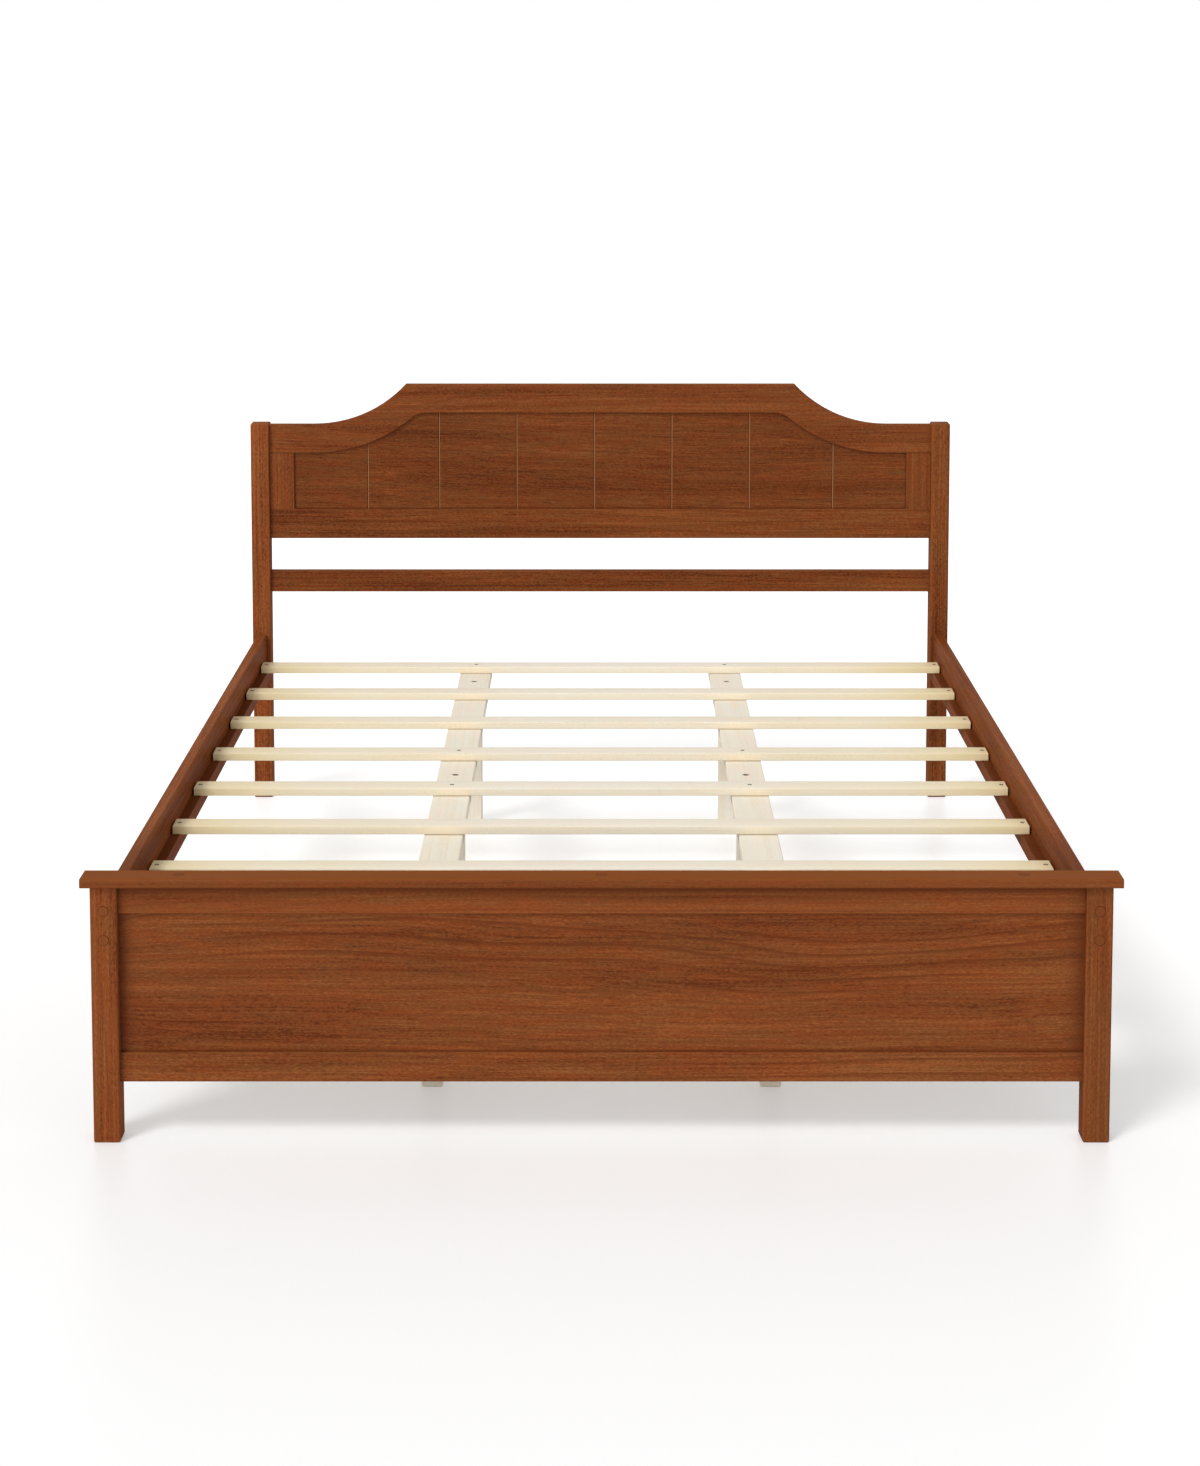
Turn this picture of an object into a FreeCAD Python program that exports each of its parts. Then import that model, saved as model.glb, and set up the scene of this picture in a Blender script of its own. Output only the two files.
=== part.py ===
import FreeCAD, Part
import math
import os
import Sketcher
from FreeCAD import Placement, Rotation, Vector

# A queen-size platform bed: an arched headboard with a grooved panel, a low panelled
# footboard under a cap, two bolted side rails, and eight screwed slats on ledgers and
# on two centre beams with three legs each.
# Millimetres, +Z up, +X to the right seen from the foot, +Y from the foot to the head.
# The origin is on the floor, at the centre of the bed's outer box.

# Driving sizes
SIZES = {
    # Whole bed: width over the posts, and length of the side rails between the posts
    "bed_width": 1608,
    "rail_length": 2050,
    # Square posts, bevelled along the long edges and round the foot
    "post_width": 42,
    "post_depth": 44,
    "head_post_height": 876,
    "foot_post_height": 415,
    "post_edge": 2,
    # Boards of the two end frames, centred in the depth of the posts
    "board_thickness": 20,
    "board_edge": 1,
    "tenon_thickness": 8,
    "tenon_length": 16,
    "tenon_shoulder": 12,
    "mortise_clearance": 0.2,
    # Panels: held in grooves, with room to move at the sides and the top
    "panel_thickness": 8,
    "groove_depth": 10,
    "groove_clearance": 0.15,
    "panel_gap": 2,
    # Headboard: shoulders below the posts' tops, hollow sweeps up to a flat crest
    "shoulder_drop": 3,
    "shoulder_length": 104,
    "sweep_run": 211,
    "crest_rise": 93,
    "arch_width": 66,
    "inner_corner": 50,
    "stile_width": 56,
    "stile_height": 131,
    "head_rail_height": 68,
    "bar_gap": 76,
    "lower_bar_height": 49,
    # Vee grooves down the face of the headboard panel: the inner ones sit off centre
    "vee_width": 4,
    "vee_depth": 2,
    "vee_edge_gap": 170,
    "vee_shift": 14,
    # Footboard
    "foot_rail_height": 46.5,
    "foot_low_rail_height": 47.5,
    "foot_floor_gap": 95.5,
    "cap_thickness": 15,
    "cap_front": 10,
    "cap_side": 14,
    "cap_edge": 4,
    # Side rails below the foot posts' tops, and the ledgers on their inner faces
    "rail_drop": 30,
    "side_rail_thickness": 20,
    "side_rail_height": 100,
    "side_rail_edge": 2,
    "ledger_width": 17,
    "ledger_height": 27,
    "ledger_edge": 1,
    "ledger_end_gap": 40,
    # Slats below the rails' tops: the first and last from the posts, the others between
    "slat_drop": 47,
    "slat_width": 52,
    "slat_thickness": 15,
    "slat_end_gap": 4,
    "slat_first": 78,
    "slat_last": 110.7,
    "slat_edge": 1.5,
    # Centre beams, and the outer legs' places from the two ends of a beam
    "beam_spread": 282.5,
    "beam_width": 70,
    "beam_thickness": 20,
    "beam_edge": 1.5,
    "leg_width": 35,
    "leg_edge": 2,
    "leg_front": 164,
    "leg_rear": 133.3,
    # Bolts that draw the side rails to the posts, their barrel nuts and wooden plugs
    "bolt_drop": 9,
    "bolt_spacing": 47,
    "bolt_diameter": 6,
    "bolt_length": 70,
    "bolt_head_diameter": 15,
    "bolt_head_height": 4,
    "bolt_clearance": 0.5,
    "nut_diameter": 10,
    "nut_length": 16,
    "nut_setback": 30,
    "plug_diameter": 17,
    "plug_length": 7,
    "plug_proud": 1,
    "plug_edge": 0.6,
    # Countersunk wood screws through slats, ledgers and cap
    "screw_diameter": 4,
    "screw_head_diameter": 8,
    "screw_length": 30,
    "screw_inset": 9,
    # Bolts down through the centre beams into threaded inserts in the legs
    "leg_bolt_diameter": 8,
    "leg_bolt_head_diameter": 14,
    "leg_bolt_head_height": 5,
    "leg_bolt_recess": 6,
    "insert_diameter": 12,
    "insert_length": 20,
    "insert_end_gap": 2,
    # Screws down through the footboard's cap into its top rail, under flush wooden plugs
    "cap_plug_diameter": 18,
    "cap_plug_length": 6,
    "cap_screw_gap": 96,
    "cap_screw_shift": 4,
    # Shared fits: round a glued, driven or threaded piece, and past the end of a blind hole
    "fit_clearance": 0.1,
    "hole_end_gap": 0.5,
}

SLAT_COUNT = 8
BEAM_SCREW_STEPS = (0, 3, 4, 7)
LEDGER_SCREW_STEPS = (0, 2, 4, 6)
VEE_STEPS = (-2, -1, 0, 1, 2)
VEE_BAY_COUNT = 6
SINK_DEGREES = 45
PARALLEL_SHARE = 0.999

# Small round pieces and their holes are drawn with a few flats, which keeps them light
FLAT_COUNT = 8
PLUG_FLAT_COUNT = 16
APOTHEM_SHARE = math.cos(math.pi / FLAT_COUNT)

doc = FreeCAD.newDocument("platform_bed")
sheet = doc.addObject("Spreadsheet::Sheet", "sizes")
for row, (alias, number) in enumerate(SIZES.items(), start=1):
    sheet.set(f"A{row}", alias)
    sheet.set(f"B{row}", str(number))
    sheet.setAlias(f"B{row}", alias)
doc.recompute()

# Places that several pieces share, worked out from the sizes
INNER_X = "(sizes.bed_width / 2 - sizes.post_width)"
POST_X = "(sizes.bed_width / 2 - sizes.post_width / 2)"
BED_DEPTH = "(sizes.cap_front + 2 * sizes.post_depth + sizes.rail_length + sizes.plug_proud)"
FOOT_Y = f"(sizes.cap_front + sizes.post_depth / 2 - {BED_DEPTH} / 2)"
HEAD_Y = f"({BED_DEPTH} / 2 - sizes.plug_proud - sizes.post_depth / 2)"
RAIL_Y = f"(({FOOT_Y} + {HEAD_Y}) / 2)"
RAIL_TOP = "(sizes.foot_post_height - sizes.rail_drop)"
RAIL_INNER_X = f"({POST_X} - sizes.side_rail_thickness / 2)"
LEDGER_X = f"({RAIL_INNER_X} - sizes.ledger_width / 2)"
SLAT_TOP = f"({RAIL_TOP} - sizes.slat_drop)"
SLAT_LOW = f"({SLAT_TOP} - sizes.slat_thickness)"
SLAT_HALF = f"({RAIL_INNER_X} - sizes.slat_end_gap)"
SLAT_RUN = "(sizes.rail_length - sizes.slat_first - sizes.slat_last)"
SLAT_PITCH = f"({SLAT_RUN} / {SLAT_COUNT - 1})"
SCREW_X = f"({SLAT_HALF} - sizes.screw_inset)"
LEDGER_Z = f"({SLAT_LOW} - sizes.ledger_height / 2)"
BEAM_LOW = f"({SLAT_LOW} - sizes.beam_thickness)"
BEAM_LENGTH = f"({SLAT_RUN} + sizes.slat_width)"
LEG_PLACES = {"front": "sizes.leg_front",
              "middle": f"({BEAM_LENGTH} / 2)",
              "rear": f"({BEAM_LENGTH} - sizes.leg_rear)"}

# Edges of the headboard arch and heights of the frame boards, as lower and upper edge
SHOULDER = "(sizes.head_post_height - sizes.shoulder_drop)"
CREST = f"({SHOULDER} + sizes.crest_rise)"
SWEEP_X = f"({INNER_X} - sizes.shoulder_length)"
SWEEP_RADIUS = "((sizes.sweep_run ^ 2 + sizes.crest_rise ^ 2) / (2 * sizes.crest_rise))"
SWEEP_Z = f"({SHOULDER} + {SWEEP_RADIUS})"
ARCH_END = (f"({SHOULDER} - sizes.arch_width)", SHOULDER)
HEAD_RAIL_TOP = f"({ARCH_END[0]} - sizes.stile_height)"
HEAD_RAIL = (f"({HEAD_RAIL_TOP} - sizes.head_rail_height)", HEAD_RAIL_TOP)
LOWER_BAR_TOP = f"({HEAD_RAIL[0]} - sizes.bar_gap)"
LOWER_BAR = (f"({LOWER_BAR_TOP} - sizes.lower_bar_height)", LOWER_BAR_TOP)
FOOT_RAIL = ("(sizes.foot_post_height - sizes.foot_rail_height)", "sizes.foot_post_height")
FOOT_LOW_RAIL = ("sizes.foot_floor_gap", "(sizes.foot_floor_gap + sizes.foot_low_rail_height)")
GROOVE_WIDTH = "(sizes.panel_thickness + 2 * sizes.groove_clearance)"

# Holes that more than one piece shares
BOLT_HEIGHTS = (f"({RAIL_TOP} - sizes.bolt_drop)", f"({RAIL_TOP} - sizes.bolt_drop - sizes.bolt_spacing)")
BOLT_RECESS = "(sizes.plug_length - sizes.plug_proud + sizes.bolt_head_height)"
BOLT_IN_RAIL = f"(sizes.bolt_length - sizes.post_depth + {BOLT_RECESS})"
BOLT_HOLE = "(sizes.bolt_diameter + 2 * sizes.bolt_clearance)"
SCREW_HOLE = "(sizes.screw_diameter + 2 * sizes.fit_clearance)"
SCREW_SINK = "(sizes.screw_head_diameter + 2 * sizes.fit_clearance)"
SINK_DEPTH = f"((sizes.screw_head_diameter - sizes.screw_diameter) / 2 * {APOTHEM_SHARE})"


def value(expression):
    """The number that an expression of the sizes gives now."""
    return float(sheet.evalExpression(expression))


def slat_y(number):
    """Place along the bed of the middle of a slat, counted from 0 at the foot."""
    return f"({FOOT_Y} + sizes.post_depth / 2 + sizes.slat_first + {number} * {SLAT_PITCH})"


def bay_y(number):
    """Place along the bed of the middle of a bay between two slats."""
    return f"({slat_y(number)} + {SLAT_PITCH} / 2)"


# Sketches: every point and size is a constraint that follows the sheet

def plane(body, role):
    """One of a body's own origin planes."""
    return next(feature for feature in body.Origin.OriginFeatures if feature.Role == role)


def sketch_on(body, role, offset="0"):
    """A sketch on an origin plane of the body, moved along the plane's normal."""
    sketch = body.newObject("Sketcher::SketchObject", f"{body.Name}_sketch")
    sketch.AttachmentSupport = [(plane(body, role), "")]
    sketch.MapMode = "FlatFace"
    sketch.setExpression("AttachmentOffset.Base.z", offset)
    return sketch


def tie(kind, *geometry):
    """A constraint without a size."""
    return Sketcher.Constraint(kind, *geometry), None


def dimension(kind, expression, *geometry):
    """A driving constraint, with the expression that it follows."""
    return Sketcher.Constraint(kind, *geometry, value(expression)), expression


def pin_point(x, y, geometry, end):
    """Constraints that hold one point at two expressions, or on an axis where one is zero."""
    if x == "0":
        across = tie("PointOnObject", geometry, end, -2)
    else:
        across = dimension("DistanceX", x, -1, 1, geometry, end)
    if y == "0":
        upward = tie("PointOnObject", geometry, end, -1)
    else:
        upward = dimension("DistanceY", y, -1, 1, geometry, end)
    return [across, upward]


def hold(sketch, rules):
    """Add constraints to a sketch, and bind each one that has an expression."""
    first = sketch.ConstraintCount
    sketch.addConstraint([constraint for constraint, expression in rules])
    for index, (constraint, expression) in enumerate(rules, start=first):
        if expression:
            sketch.setExpression(f"Constraints[{index}]", expression)


def polygon(sketch, points):
    """A closed outline of straight lines through points given as pairs of expressions."""
    corners = [Vector(value(x), value(y), 0) for x, y in points]
    lines = []
    for start, end in zip(corners, corners[1:] + corners[:1]):
        lines.append(sketch.addGeometry(Part.LineSegment(start, end)))
    rules = []
    for line, following, (x, y) in zip(lines, lines[1:] + lines[:1], points):
        rules.append(tie("Coincident", line, 2, following, 1))
        rules += pin_point(x, y, line, 1)
    hold(sketch, rules)
    return sketch


def rectangle(sketch, left, right, low, high):
    """A rectangle between four expressions."""
    return polygon(sketch, [(left, low), (right, low), (right, high), (left, high)])


def centred(sketch, width, low, high):
    """A rectangle centred on the sketch's upright axis."""
    return rectangle(sketch, f"-{width} / 2", f"{width} / 2", low, high)


def rounds(sketch, centres, diameter, flat_count=FLAT_COUNT):
    """Small round outlines with a few flats, round centres given as pairs of expressions."""
    angles = [2 * math.pi * (step + 1 / 2) / flat_count for step in range(flat_count)]
    for x, y in centres:
        polygon(sketch, [(f"{x} + ({math.cos(angle)}) * {diameter} / 2",
                          f"{y} + ({math.sin(angle)}) * {diameter} / 2") for angle in angles])
    return sketch


# Features: each follows one sketch of its body

def pad(body, sketch, length, symmetric=False, backwards=False, taper_degrees=0):
    """Raise a sketch into wood or metal."""
    feature = body.newObject("PartDesign::Pad", f"{body.Name}_pad")
    feature.Profile = sketch
    feature.setExpression("Length", length)
    feature.SideType = "Symmetric" if symmetric else "One side"
    feature.Reversed = backwards
    feature.TaperAngle = taper_degrees
    return feature


def pocket(body, sketch, depth, symmetric=False, backwards=False, taper_degrees=0):
    """Cut a sketch into the body, against the normal of its plane unless backwards."""
    feature = body.newObject("PartDesign::Pocket", f"{body.Name}_pocket")
    feature.Profile = sketch
    feature.setExpression("Length", depth)
    feature.SideType = "Symmetric" if symmetric else "One side"
    feature.Reversed = backwards
    feature.TaperAngle = taper_degrees
    return feature


def bore(body, role, offset, centres, diameter, depth, backwards=False, flat_count=FLAT_COUNT):
    """Round holes of one depth, from an offset plane into the body."""
    marks = rounds(sketch_on(body, role, offset), centres, diameter, flat_count)
    return pocket(body, marks, depth, backwards=backwards)


def bore_for_screws(body, role, offset, centres, thickness):
    """Countersunk screw holes right through a board."""
    bore(body, role, offset, centres, SCREW_HOLE, thickness)
    sinks = rounds(sketch_on(body, role, offset), centres, SCREW_SINK)
    pocket(body, sinks, SINK_DEPTH, taper_degrees=-SINK_DEGREES)


def edge_names(feature, wanted):
    """Names of the edges of a feature that a test picks out."""
    doc.recompute()
    return [f"Edge{number}" for number, edge in enumerate(feature.Shape.Edges, start=1) if wanted(edge)]


def runs_along(direction):
    """A test for straight edges along a direction."""
    def wanted(edge):
        return (isinstance(edge.Curve, Part.Line)
                and abs(edge.Curve.Direction.dot(direction)) > PARALLEL_SHARE)
    return wanted


def lies_at(height):
    """A test for edges that lie level at a height of the body."""
    def wanted(edge):
        low_miss = abs(edge.BoundBox.ZMin - value(height))
        high_miss = abs(edge.BoundBox.ZMax - value(height))
        return max(low_miss, high_miss) < value("sizes.fit_clearance")
    return wanted


def stands(edge):
    """A test for the upright edges of a leg or post and those that stand on the floor."""
    return runs_along(Vector(0, 0, 1))(edge) or lies_at("0")(edge)


def ease(body, feature, wanted, radius):
    """Round the edges that a test picks out."""
    rounding = body.newObject("PartDesign::Fillet", f"{body.Name}_eased")
    rounding.Base = (feature, edge_names(feature, wanted))
    rounding.setExpression("Radius", radius)
    return rounding


def bevel(body, feature, wanted, size):
    """Take the corner off the edges that a test picks out."""
    cut = body.newObject("PartDesign::Chamfer", f"{body.Name}_bevelled")
    cut.Base = (feature, edge_names(feature, wanted))
    cut.setExpression("Size", size)
    return cut


def mirror_whole(body):
    """Complete a body that is modelled as its right half."""
    feature = body.newObject("PartDesign::Mirrored", f"{body.Name}_mirrored")
    feature.TransformMode = "Whole shape"
    feature.MirrorPlane = (plane(body, "YZ_Plane"), [""])
    body.Tip = feature
    return feature


# Pieces: each is an object with its own label and place

nodes = []


def new_piece(label):
    """An empty body that becomes one piece of the bed."""
    body = doc.addObject("PartDesign::Body", label)
    nodes.append(body)
    return body


def new_pattern(label):
    """An empty body for a fastener that groups repeat."""
    return doc.addObject("PartDesign::Body", label)


def place(piece, x="0", y="0", z="0"):
    """Put a piece at its place in the bed."""
    piece.setExpression("Placement.Base.x", x)
    piece.setExpression("Placement.Base.y", y)
    piece.setExpression("Placement.Base.z", z)


def right_hand(label, left_piece):
    """The mirror image of a left-hand piece, on the right side of the bed."""
    twin = doc.addObject("Part::Mirroring", label)
    twin.Source = left_piece
    twin.Normal = Vector(1, 0, 0)
    nodes.append(twin)


def group(label, pattern, places):
    """Like fasteners as separate solids, each at a place and a turn."""
    copies = []
    for x, y, z, rotation in places:
        copy = doc.addObject("App::Link", f"{label}_copy")
        copy.LinkedObject = pattern
        copy.Placement = Placement(Vector(), rotation)
        place(copy, x, y, z)
        copies.append(copy)
    compound = doc.addObject("Part::Compound", label)
    compound.Links = copies
    nodes.append(compound)


# Posts. Their mortises and grooves are on the inner face, and their bolt holes run
# along the bed with a recess for head and plug on the outer face of the bed.
PLUG_HOLE = "(sizes.plug_diameter + 2 * sizes.fit_clearance)"


def post(label, height, boards, wanted):
    """A left-hand post, with a mortise for each board, given by its lower and upper edge."""
    body = new_piece(label)
    section = centred(sketch_on(body, "XY_Plane"), "sizes.post_width",
                      "-sizes.post_depth / 2", "sizes.post_depth / 2")
    bevel(body, pad(body, section, height), wanted, "sizes.post_edge")
    for low, high in boards:
        mouth = centred(sketch_on(body, "YZ_Plane", "sizes.post_width / 2"),
                        "(sizes.tenon_thickness + 2 * sizes.mortise_clearance)",
                        f"{low} + sizes.tenon_shoulder - sizes.mortise_clearance",
                        f"{high} - sizes.tenon_shoulder + sizes.mortise_clearance")
        pocket(body, mouth, "sizes.tenon_length + sizes.mortise_clearance")
    return body


def drill_post(body, offset, backwards):
    """Bolt holes through a post, recessed from one face for the bolt's head and its plug."""
    centres = [("0", z) for z in BOLT_HEIGHTS]
    bore(body, "XZ_Plane", offset, centres, BOLT_HOLE, "sizes.post_depth", backwards)
    bore(body, "XZ_Plane", offset, centres, PLUG_HOLE, BOLT_RECESS, backwards, PLUG_FLAT_COUNT)


head_post = post("head_post_left", "sizes.head_post_height",
                 [ARCH_END, HEAD_RAIL, LOWER_BAR], lambda edge: True)
drill_post(head_post, "-sizes.post_depth / 2", True)
place(head_post, f"-{POST_X}", HEAD_Y)
right_hand("head_post_right", head_post)

foot_post = post("foot_post_left", "sizes.foot_post_height", [FOOT_RAIL, FOOT_LOW_RAIL], stands)
panel_slot = centred(sketch_on(foot_post, "YZ_Plane", "sizes.post_width / 2"), GROOVE_WIDTH,
                     f"{FOOT_LOW_RAIL[1]} - sizes.groove_depth", f"{FOOT_RAIL[0]} + sizes.groove_depth")
pocket(foot_post, panel_slot, "sizes.groove_depth")
drill_post(foot_post, "sizes.post_depth / 2", False)
place(foot_post, f"-{POST_X}", FOOT_Y)
right_hand("foot_post_right", foot_post)


# Straight frame boards. Board, tenons and grooves are three sections along X.

def frame_board(label, y, edges, groove_edge=None):
    """A board between the posts of one end, tenoned at both ends and grooved on one edge."""
    low, high = edges
    body = new_piece(label)
    board = centred(sketch_on(body, "YZ_Plane"), "sizes.board_thickness", low, high)
    stock = pad(body, board, f"2 * {INNER_X}", symmetric=True)
    bevel(body, stock, runs_along(Vector(1, 0, 0)), "sizes.board_edge")
    tenon = centred(sketch_on(body, "YZ_Plane"), "sizes.tenon_thickness",
                    f"{low} + sizes.tenon_shoulder", f"{high} - sizes.tenon_shoulder")
    pad(body, tenon, f"2 * ({INNER_X} + sizes.tenon_length)", symmetric=True)
    if groove_edge == "top":
        groove = centred(sketch_on(body, "YZ_Plane"), GROOVE_WIDTH, f"{high} - sizes.groove_depth", high)
        pocket(body, groove, f"2 * {INNER_X}", symmetric=True)
    if groove_edge == "bottom":
        groove = centred(sketch_on(body, "YZ_Plane"), GROOVE_WIDTH, low, f"{low} + sizes.groove_depth")
        pocket(body, groove, f"2 * {INNER_X}", symmetric=True)
    place(body, y=y)
    return body


frame_board("head_bottom_rail", HEAD_Y, HEAD_RAIL, groove_edge="top")
frame_board("head_lower_bar", HEAD_Y, LOWER_BAR)
foot_rail = frame_board("foot_top_rail", FOOT_Y, FOOT_RAIL, groove_edge="bottom")
frame_board("foot_bottom_rail", FOOT_Y, FOOT_LOW_RAIL, groove_edge="top")


# Arched headboard rail and its panel. The same lower edge, raised by different
# amounts, draws the rail itself, the groove in it and the panel in the groove.

def arch_edge(sketch, rise, reach):
    """The arch's lower edge on the right: flat, rounded corner, hollow sweep, straight shoulder."""
    flat_z = value(f"{CREST} - sizes.arch_width + {rise}")
    shoulder_z = value(f"{ARCH_END[0]} + {rise}")
    corner = value(f"sizes.inner_corner + {rise}")
    sweep = value(f"{SWEEP_RADIUS} + sizes.arch_width - {rise}")
    sweep_middle = Vector(value(SWEEP_X), value(SWEEP_Z), 0)
    across = ((sweep + corner) ** 2 - (sweep_middle.y - flat_z + corner) ** 2) ** (1 / 2)
    corner_middle = Vector(sweep_middle.x - across, flat_z - corner, 0)
    meeting = corner_middle + (sweep_middle - corner_middle) * (corner / (sweep + corner))
    flat_end = corner_middle + Vector(0, corner, 0)
    sweep_end = Vector(sweep_middle.x, shoulder_z, 0)
    up = Vector(0, 0, 1)
    corner_circle = Part.Circle(corner_middle, up, corner)
    sweep_circle = Part.Circle(sweep_middle, up, sweep)
    flat = sketch.addGeometry(Part.LineSegment(Vector(0, flat_z, 0), flat_end))
    round_off = sketch.addGeometry(Part.ArcOfCircle(
        corner_circle, corner_circle.parameter(meeting), corner_circle.parameter(flat_end)))
    hollow = sketch.addGeometry(Part.ArcOfCircle(
        sweep_circle, sweep_circle.parameter(meeting), sweep_circle.parameter(sweep_end)))
    straight = sketch.addGeometry(Part.LineSegment(sweep_end, Vector(value(reach), shoulder_z, 0)))
    hold(sketch, [
        tie("Horizontal", flat),
        tie("Horizontal", straight),
        tie("Tangent", flat, 2, round_off, 2),
        tie("Tangent", round_off, 1, hollow, 1),
        tie("Tangent", hollow, 2, straight, 1),
        *pin_point("0", f"{CREST} - sizes.arch_width + {rise}", flat, 1),
        *pin_point(SWEEP_X, SWEEP_Z, hollow, 3),
        *pin_point(reach, f"{ARCH_END[0]} + {rise}", straight, 2),
        dimension("Radius", f"sizes.inner_corner + {rise}", round_off)])
    return flat, straight


def join_lines(sketch, first, last, points):
    """Straight lines from the start of one line, through points, to the end of another."""
    corners = [Vector(value(x), value(y), 0) for x, y in points]
    begin = sketch.getPoint(first, 1)
    finish = sketch.getPoint(last, 2)
    lines = []
    for start, end in zip([begin] + corners, corners + [finish]):
        lines.append(sketch.addGeometry(Part.LineSegment(start, end)))
    rules = [tie("Coincident", first, 1, lines[0], 1), tie("Coincident", lines[-1], 2, last, 2)]
    for line, following, (x, y) in zip(lines, lines[1:], points):
        rules.append(tie("Coincident", line, 2, following, 1))
        rules += pin_point(x, y, line, 2)
    hold(sketch, rules)


def on_arch_face(edge):
    """A test for the edges that outline the front and back faces, cut ends left out."""
    box = edge.BoundBox
    return box.XLength > box.ZLength / 2 and box.YLength < value("sizes.fit_clearance")


arch = new_piece("head_arch_rail")
outline = sketch_on(arch, "XZ_Plane")
lower_flat, lower_straight = arch_edge(outline, "0", INNER_X)
hollow_end = Vector(value(SWEEP_X), value(SHOULDER), 0)
hollow_middle = Vector(value(SWEEP_X), value(SWEEP_Z), 0)
crest_start = Vector(0, value(CREST), 0)
crest_end = Vector(value(f"{SWEEP_X} - sizes.sweep_run"), value(CREST), 0)
shoulder_end = Vector(value(INNER_X), value(SHOULDER), 0)
upper_circle = Part.Circle(hollow_middle, Vector(0, 0, 1), value(SWEEP_RADIUS))
middle_cut = outline.addGeometry(Part.LineSegment(outline.getPoint(lower_flat, 1), crest_start))
crest = outline.addGeometry(Part.LineSegment(crest_start, crest_end))
upper_hollow = outline.addGeometry(Part.ArcOfCircle(
    upper_circle, upper_circle.parameter(crest_end), upper_circle.parameter(hollow_end)))
shoulder = outline.addGeometry(Part.LineSegment(hollow_end, shoulder_end))
post_cut = outline.addGeometry(Part.LineSegment(shoulder_end, outline.getPoint(lower_straight, 2)))
hold(outline, [
    tie("Coincident", lower_flat, 1, middle_cut, 1),
    tie("Coincident", middle_cut, 2, crest, 1),
    tie("Coincident", crest, 2, upper_hollow, 1),
    tie("Tangent", upper_hollow, 2, shoulder, 1),
    tie("Coincident", shoulder, 2, post_cut, 1),
    tie("Coincident", post_cut, 2, lower_straight, 2),
    tie("Horizontal", crest),
    tie("Horizontal", shoulder),
    tie("Vertical", middle_cut),
    *pin_point(f"{SWEEP_X} - sizes.sweep_run", CREST, crest, 2),
    *pin_point(INNER_X, SHOULDER, shoulder, 2),
    dimension("DistanceX", SWEEP_X, -1, 1, upper_hollow, 3)])
bevel(arch, pad(arch, outline, "sizes.board_thickness", symmetric=True), on_arch_face, "sizes.board_edge")
arch_groove = sketch_on(arch, "XZ_Plane")
groove_flat, groove_straight = arch_edge(arch_groove, "sizes.groove_depth", INNER_X)
groove_low = f"{ARCH_END[0]} - sizes.groove_depth"
join_lines(arch_groove, groove_flat, groove_straight, [("0", groove_low), (INNER_X, groove_low)])
pocket(arch, arch_groove, GROOVE_WIDTH, symmetric=True)
arch_tenon = centred(sketch_on(arch, "YZ_Plane", INNER_X), "sizes.tenon_thickness",
                     f"{ARCH_END[0]} + sizes.tenon_shoulder", f"{ARCH_END[1]} - sizes.tenon_shoulder")
pad(arch, arch_tenon, "sizes.tenon_length")
mirror_whole(arch)
place(arch, y=HEAD_Y)

PANEL_HALF = f"({INNER_X} - sizes.stile_width + sizes.groove_depth - sizes.panel_gap)"
PANEL_LOW = f"({HEAD_RAIL_TOP} - sizes.groove_depth)"
VEE_OUTER = f"({INNER_X} - sizes.stile_width - sizes.vee_edge_gap)"
head_panel = new_piece("head_panel")
panel_outline = sketch_on(head_panel, "XZ_Plane")
panel_flat, panel_straight = arch_edge(panel_outline, "(sizes.groove_depth - sizes.panel_gap)", PANEL_HALF)
join_lines(panel_outline, panel_flat, panel_straight, [("0", PANEL_LOW), (PANEL_HALF, PANEL_LOW)])
pad(head_panel, panel_outline, "sizes.panel_thickness", symmetric=True)
mirror_whole(head_panel)
vees = sketch_on(head_panel, "XY_Plane", PANEL_LOW)
vee_places = [f"({step} * 2 * {VEE_OUTER} / {VEE_BAY_COUNT} - sizes.vee_shift)" for step in VEE_STEPS]
for middle in vee_places + [f"-{VEE_OUTER}", VEE_OUTER]:
    polygon(vees, [(f"{middle} - sizes.vee_width / 2", "-sizes.panel_thickness / 2"),
                   (f"{middle} + sizes.vee_width / 2", "-sizes.panel_thickness / 2"),
                   (middle, "sizes.vee_depth - sizes.panel_thickness / 2")])
pocket(head_panel, vees, f"{CREST} - {PANEL_LOW}", backwards=True)
place(head_panel, y=HEAD_Y)

# Short headboard stiles beside the posts, with stub tenons in the rails' grooves
STUB = "(sizes.groove_depth - sizes.hole_end_gap)"
stile = new_piece("head_stile_left")
stile_face = rectangle(sketch_on(stile, "XZ_Plane"), "0", "sizes.stile_width", HEAD_RAIL[1], ARCH_END[0])
bevel(stile, pad(stile, stile_face, "sizes.board_thickness", symmetric=True),
      runs_along(Vector(0, 0, 1)), "sizes.board_edge")
stubs = rectangle(sketch_on(stile, "XZ_Plane"), "0", "sizes.stile_width",
                  f"{HEAD_RAIL[1]} - {STUB}", f"{ARCH_END[0]} + {STUB}")
pad(stile, stubs, "sizes.panel_thickness", symmetric=True)
stile_groove = rectangle(sketch_on(stile, "XZ_Plane"), "sizes.stile_width - sizes.groove_depth",
                         "sizes.stile_width", f"{HEAD_RAIL[1]} - sizes.groove_depth",
                         f"{ARCH_END[0]} + sizes.groove_depth")
pocket(stile, stile_groove, GROOVE_WIDTH, symmetric=True)
place(stile, f"-{INNER_X}", HEAD_Y)
right_hand("head_stile_right", stile)

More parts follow.
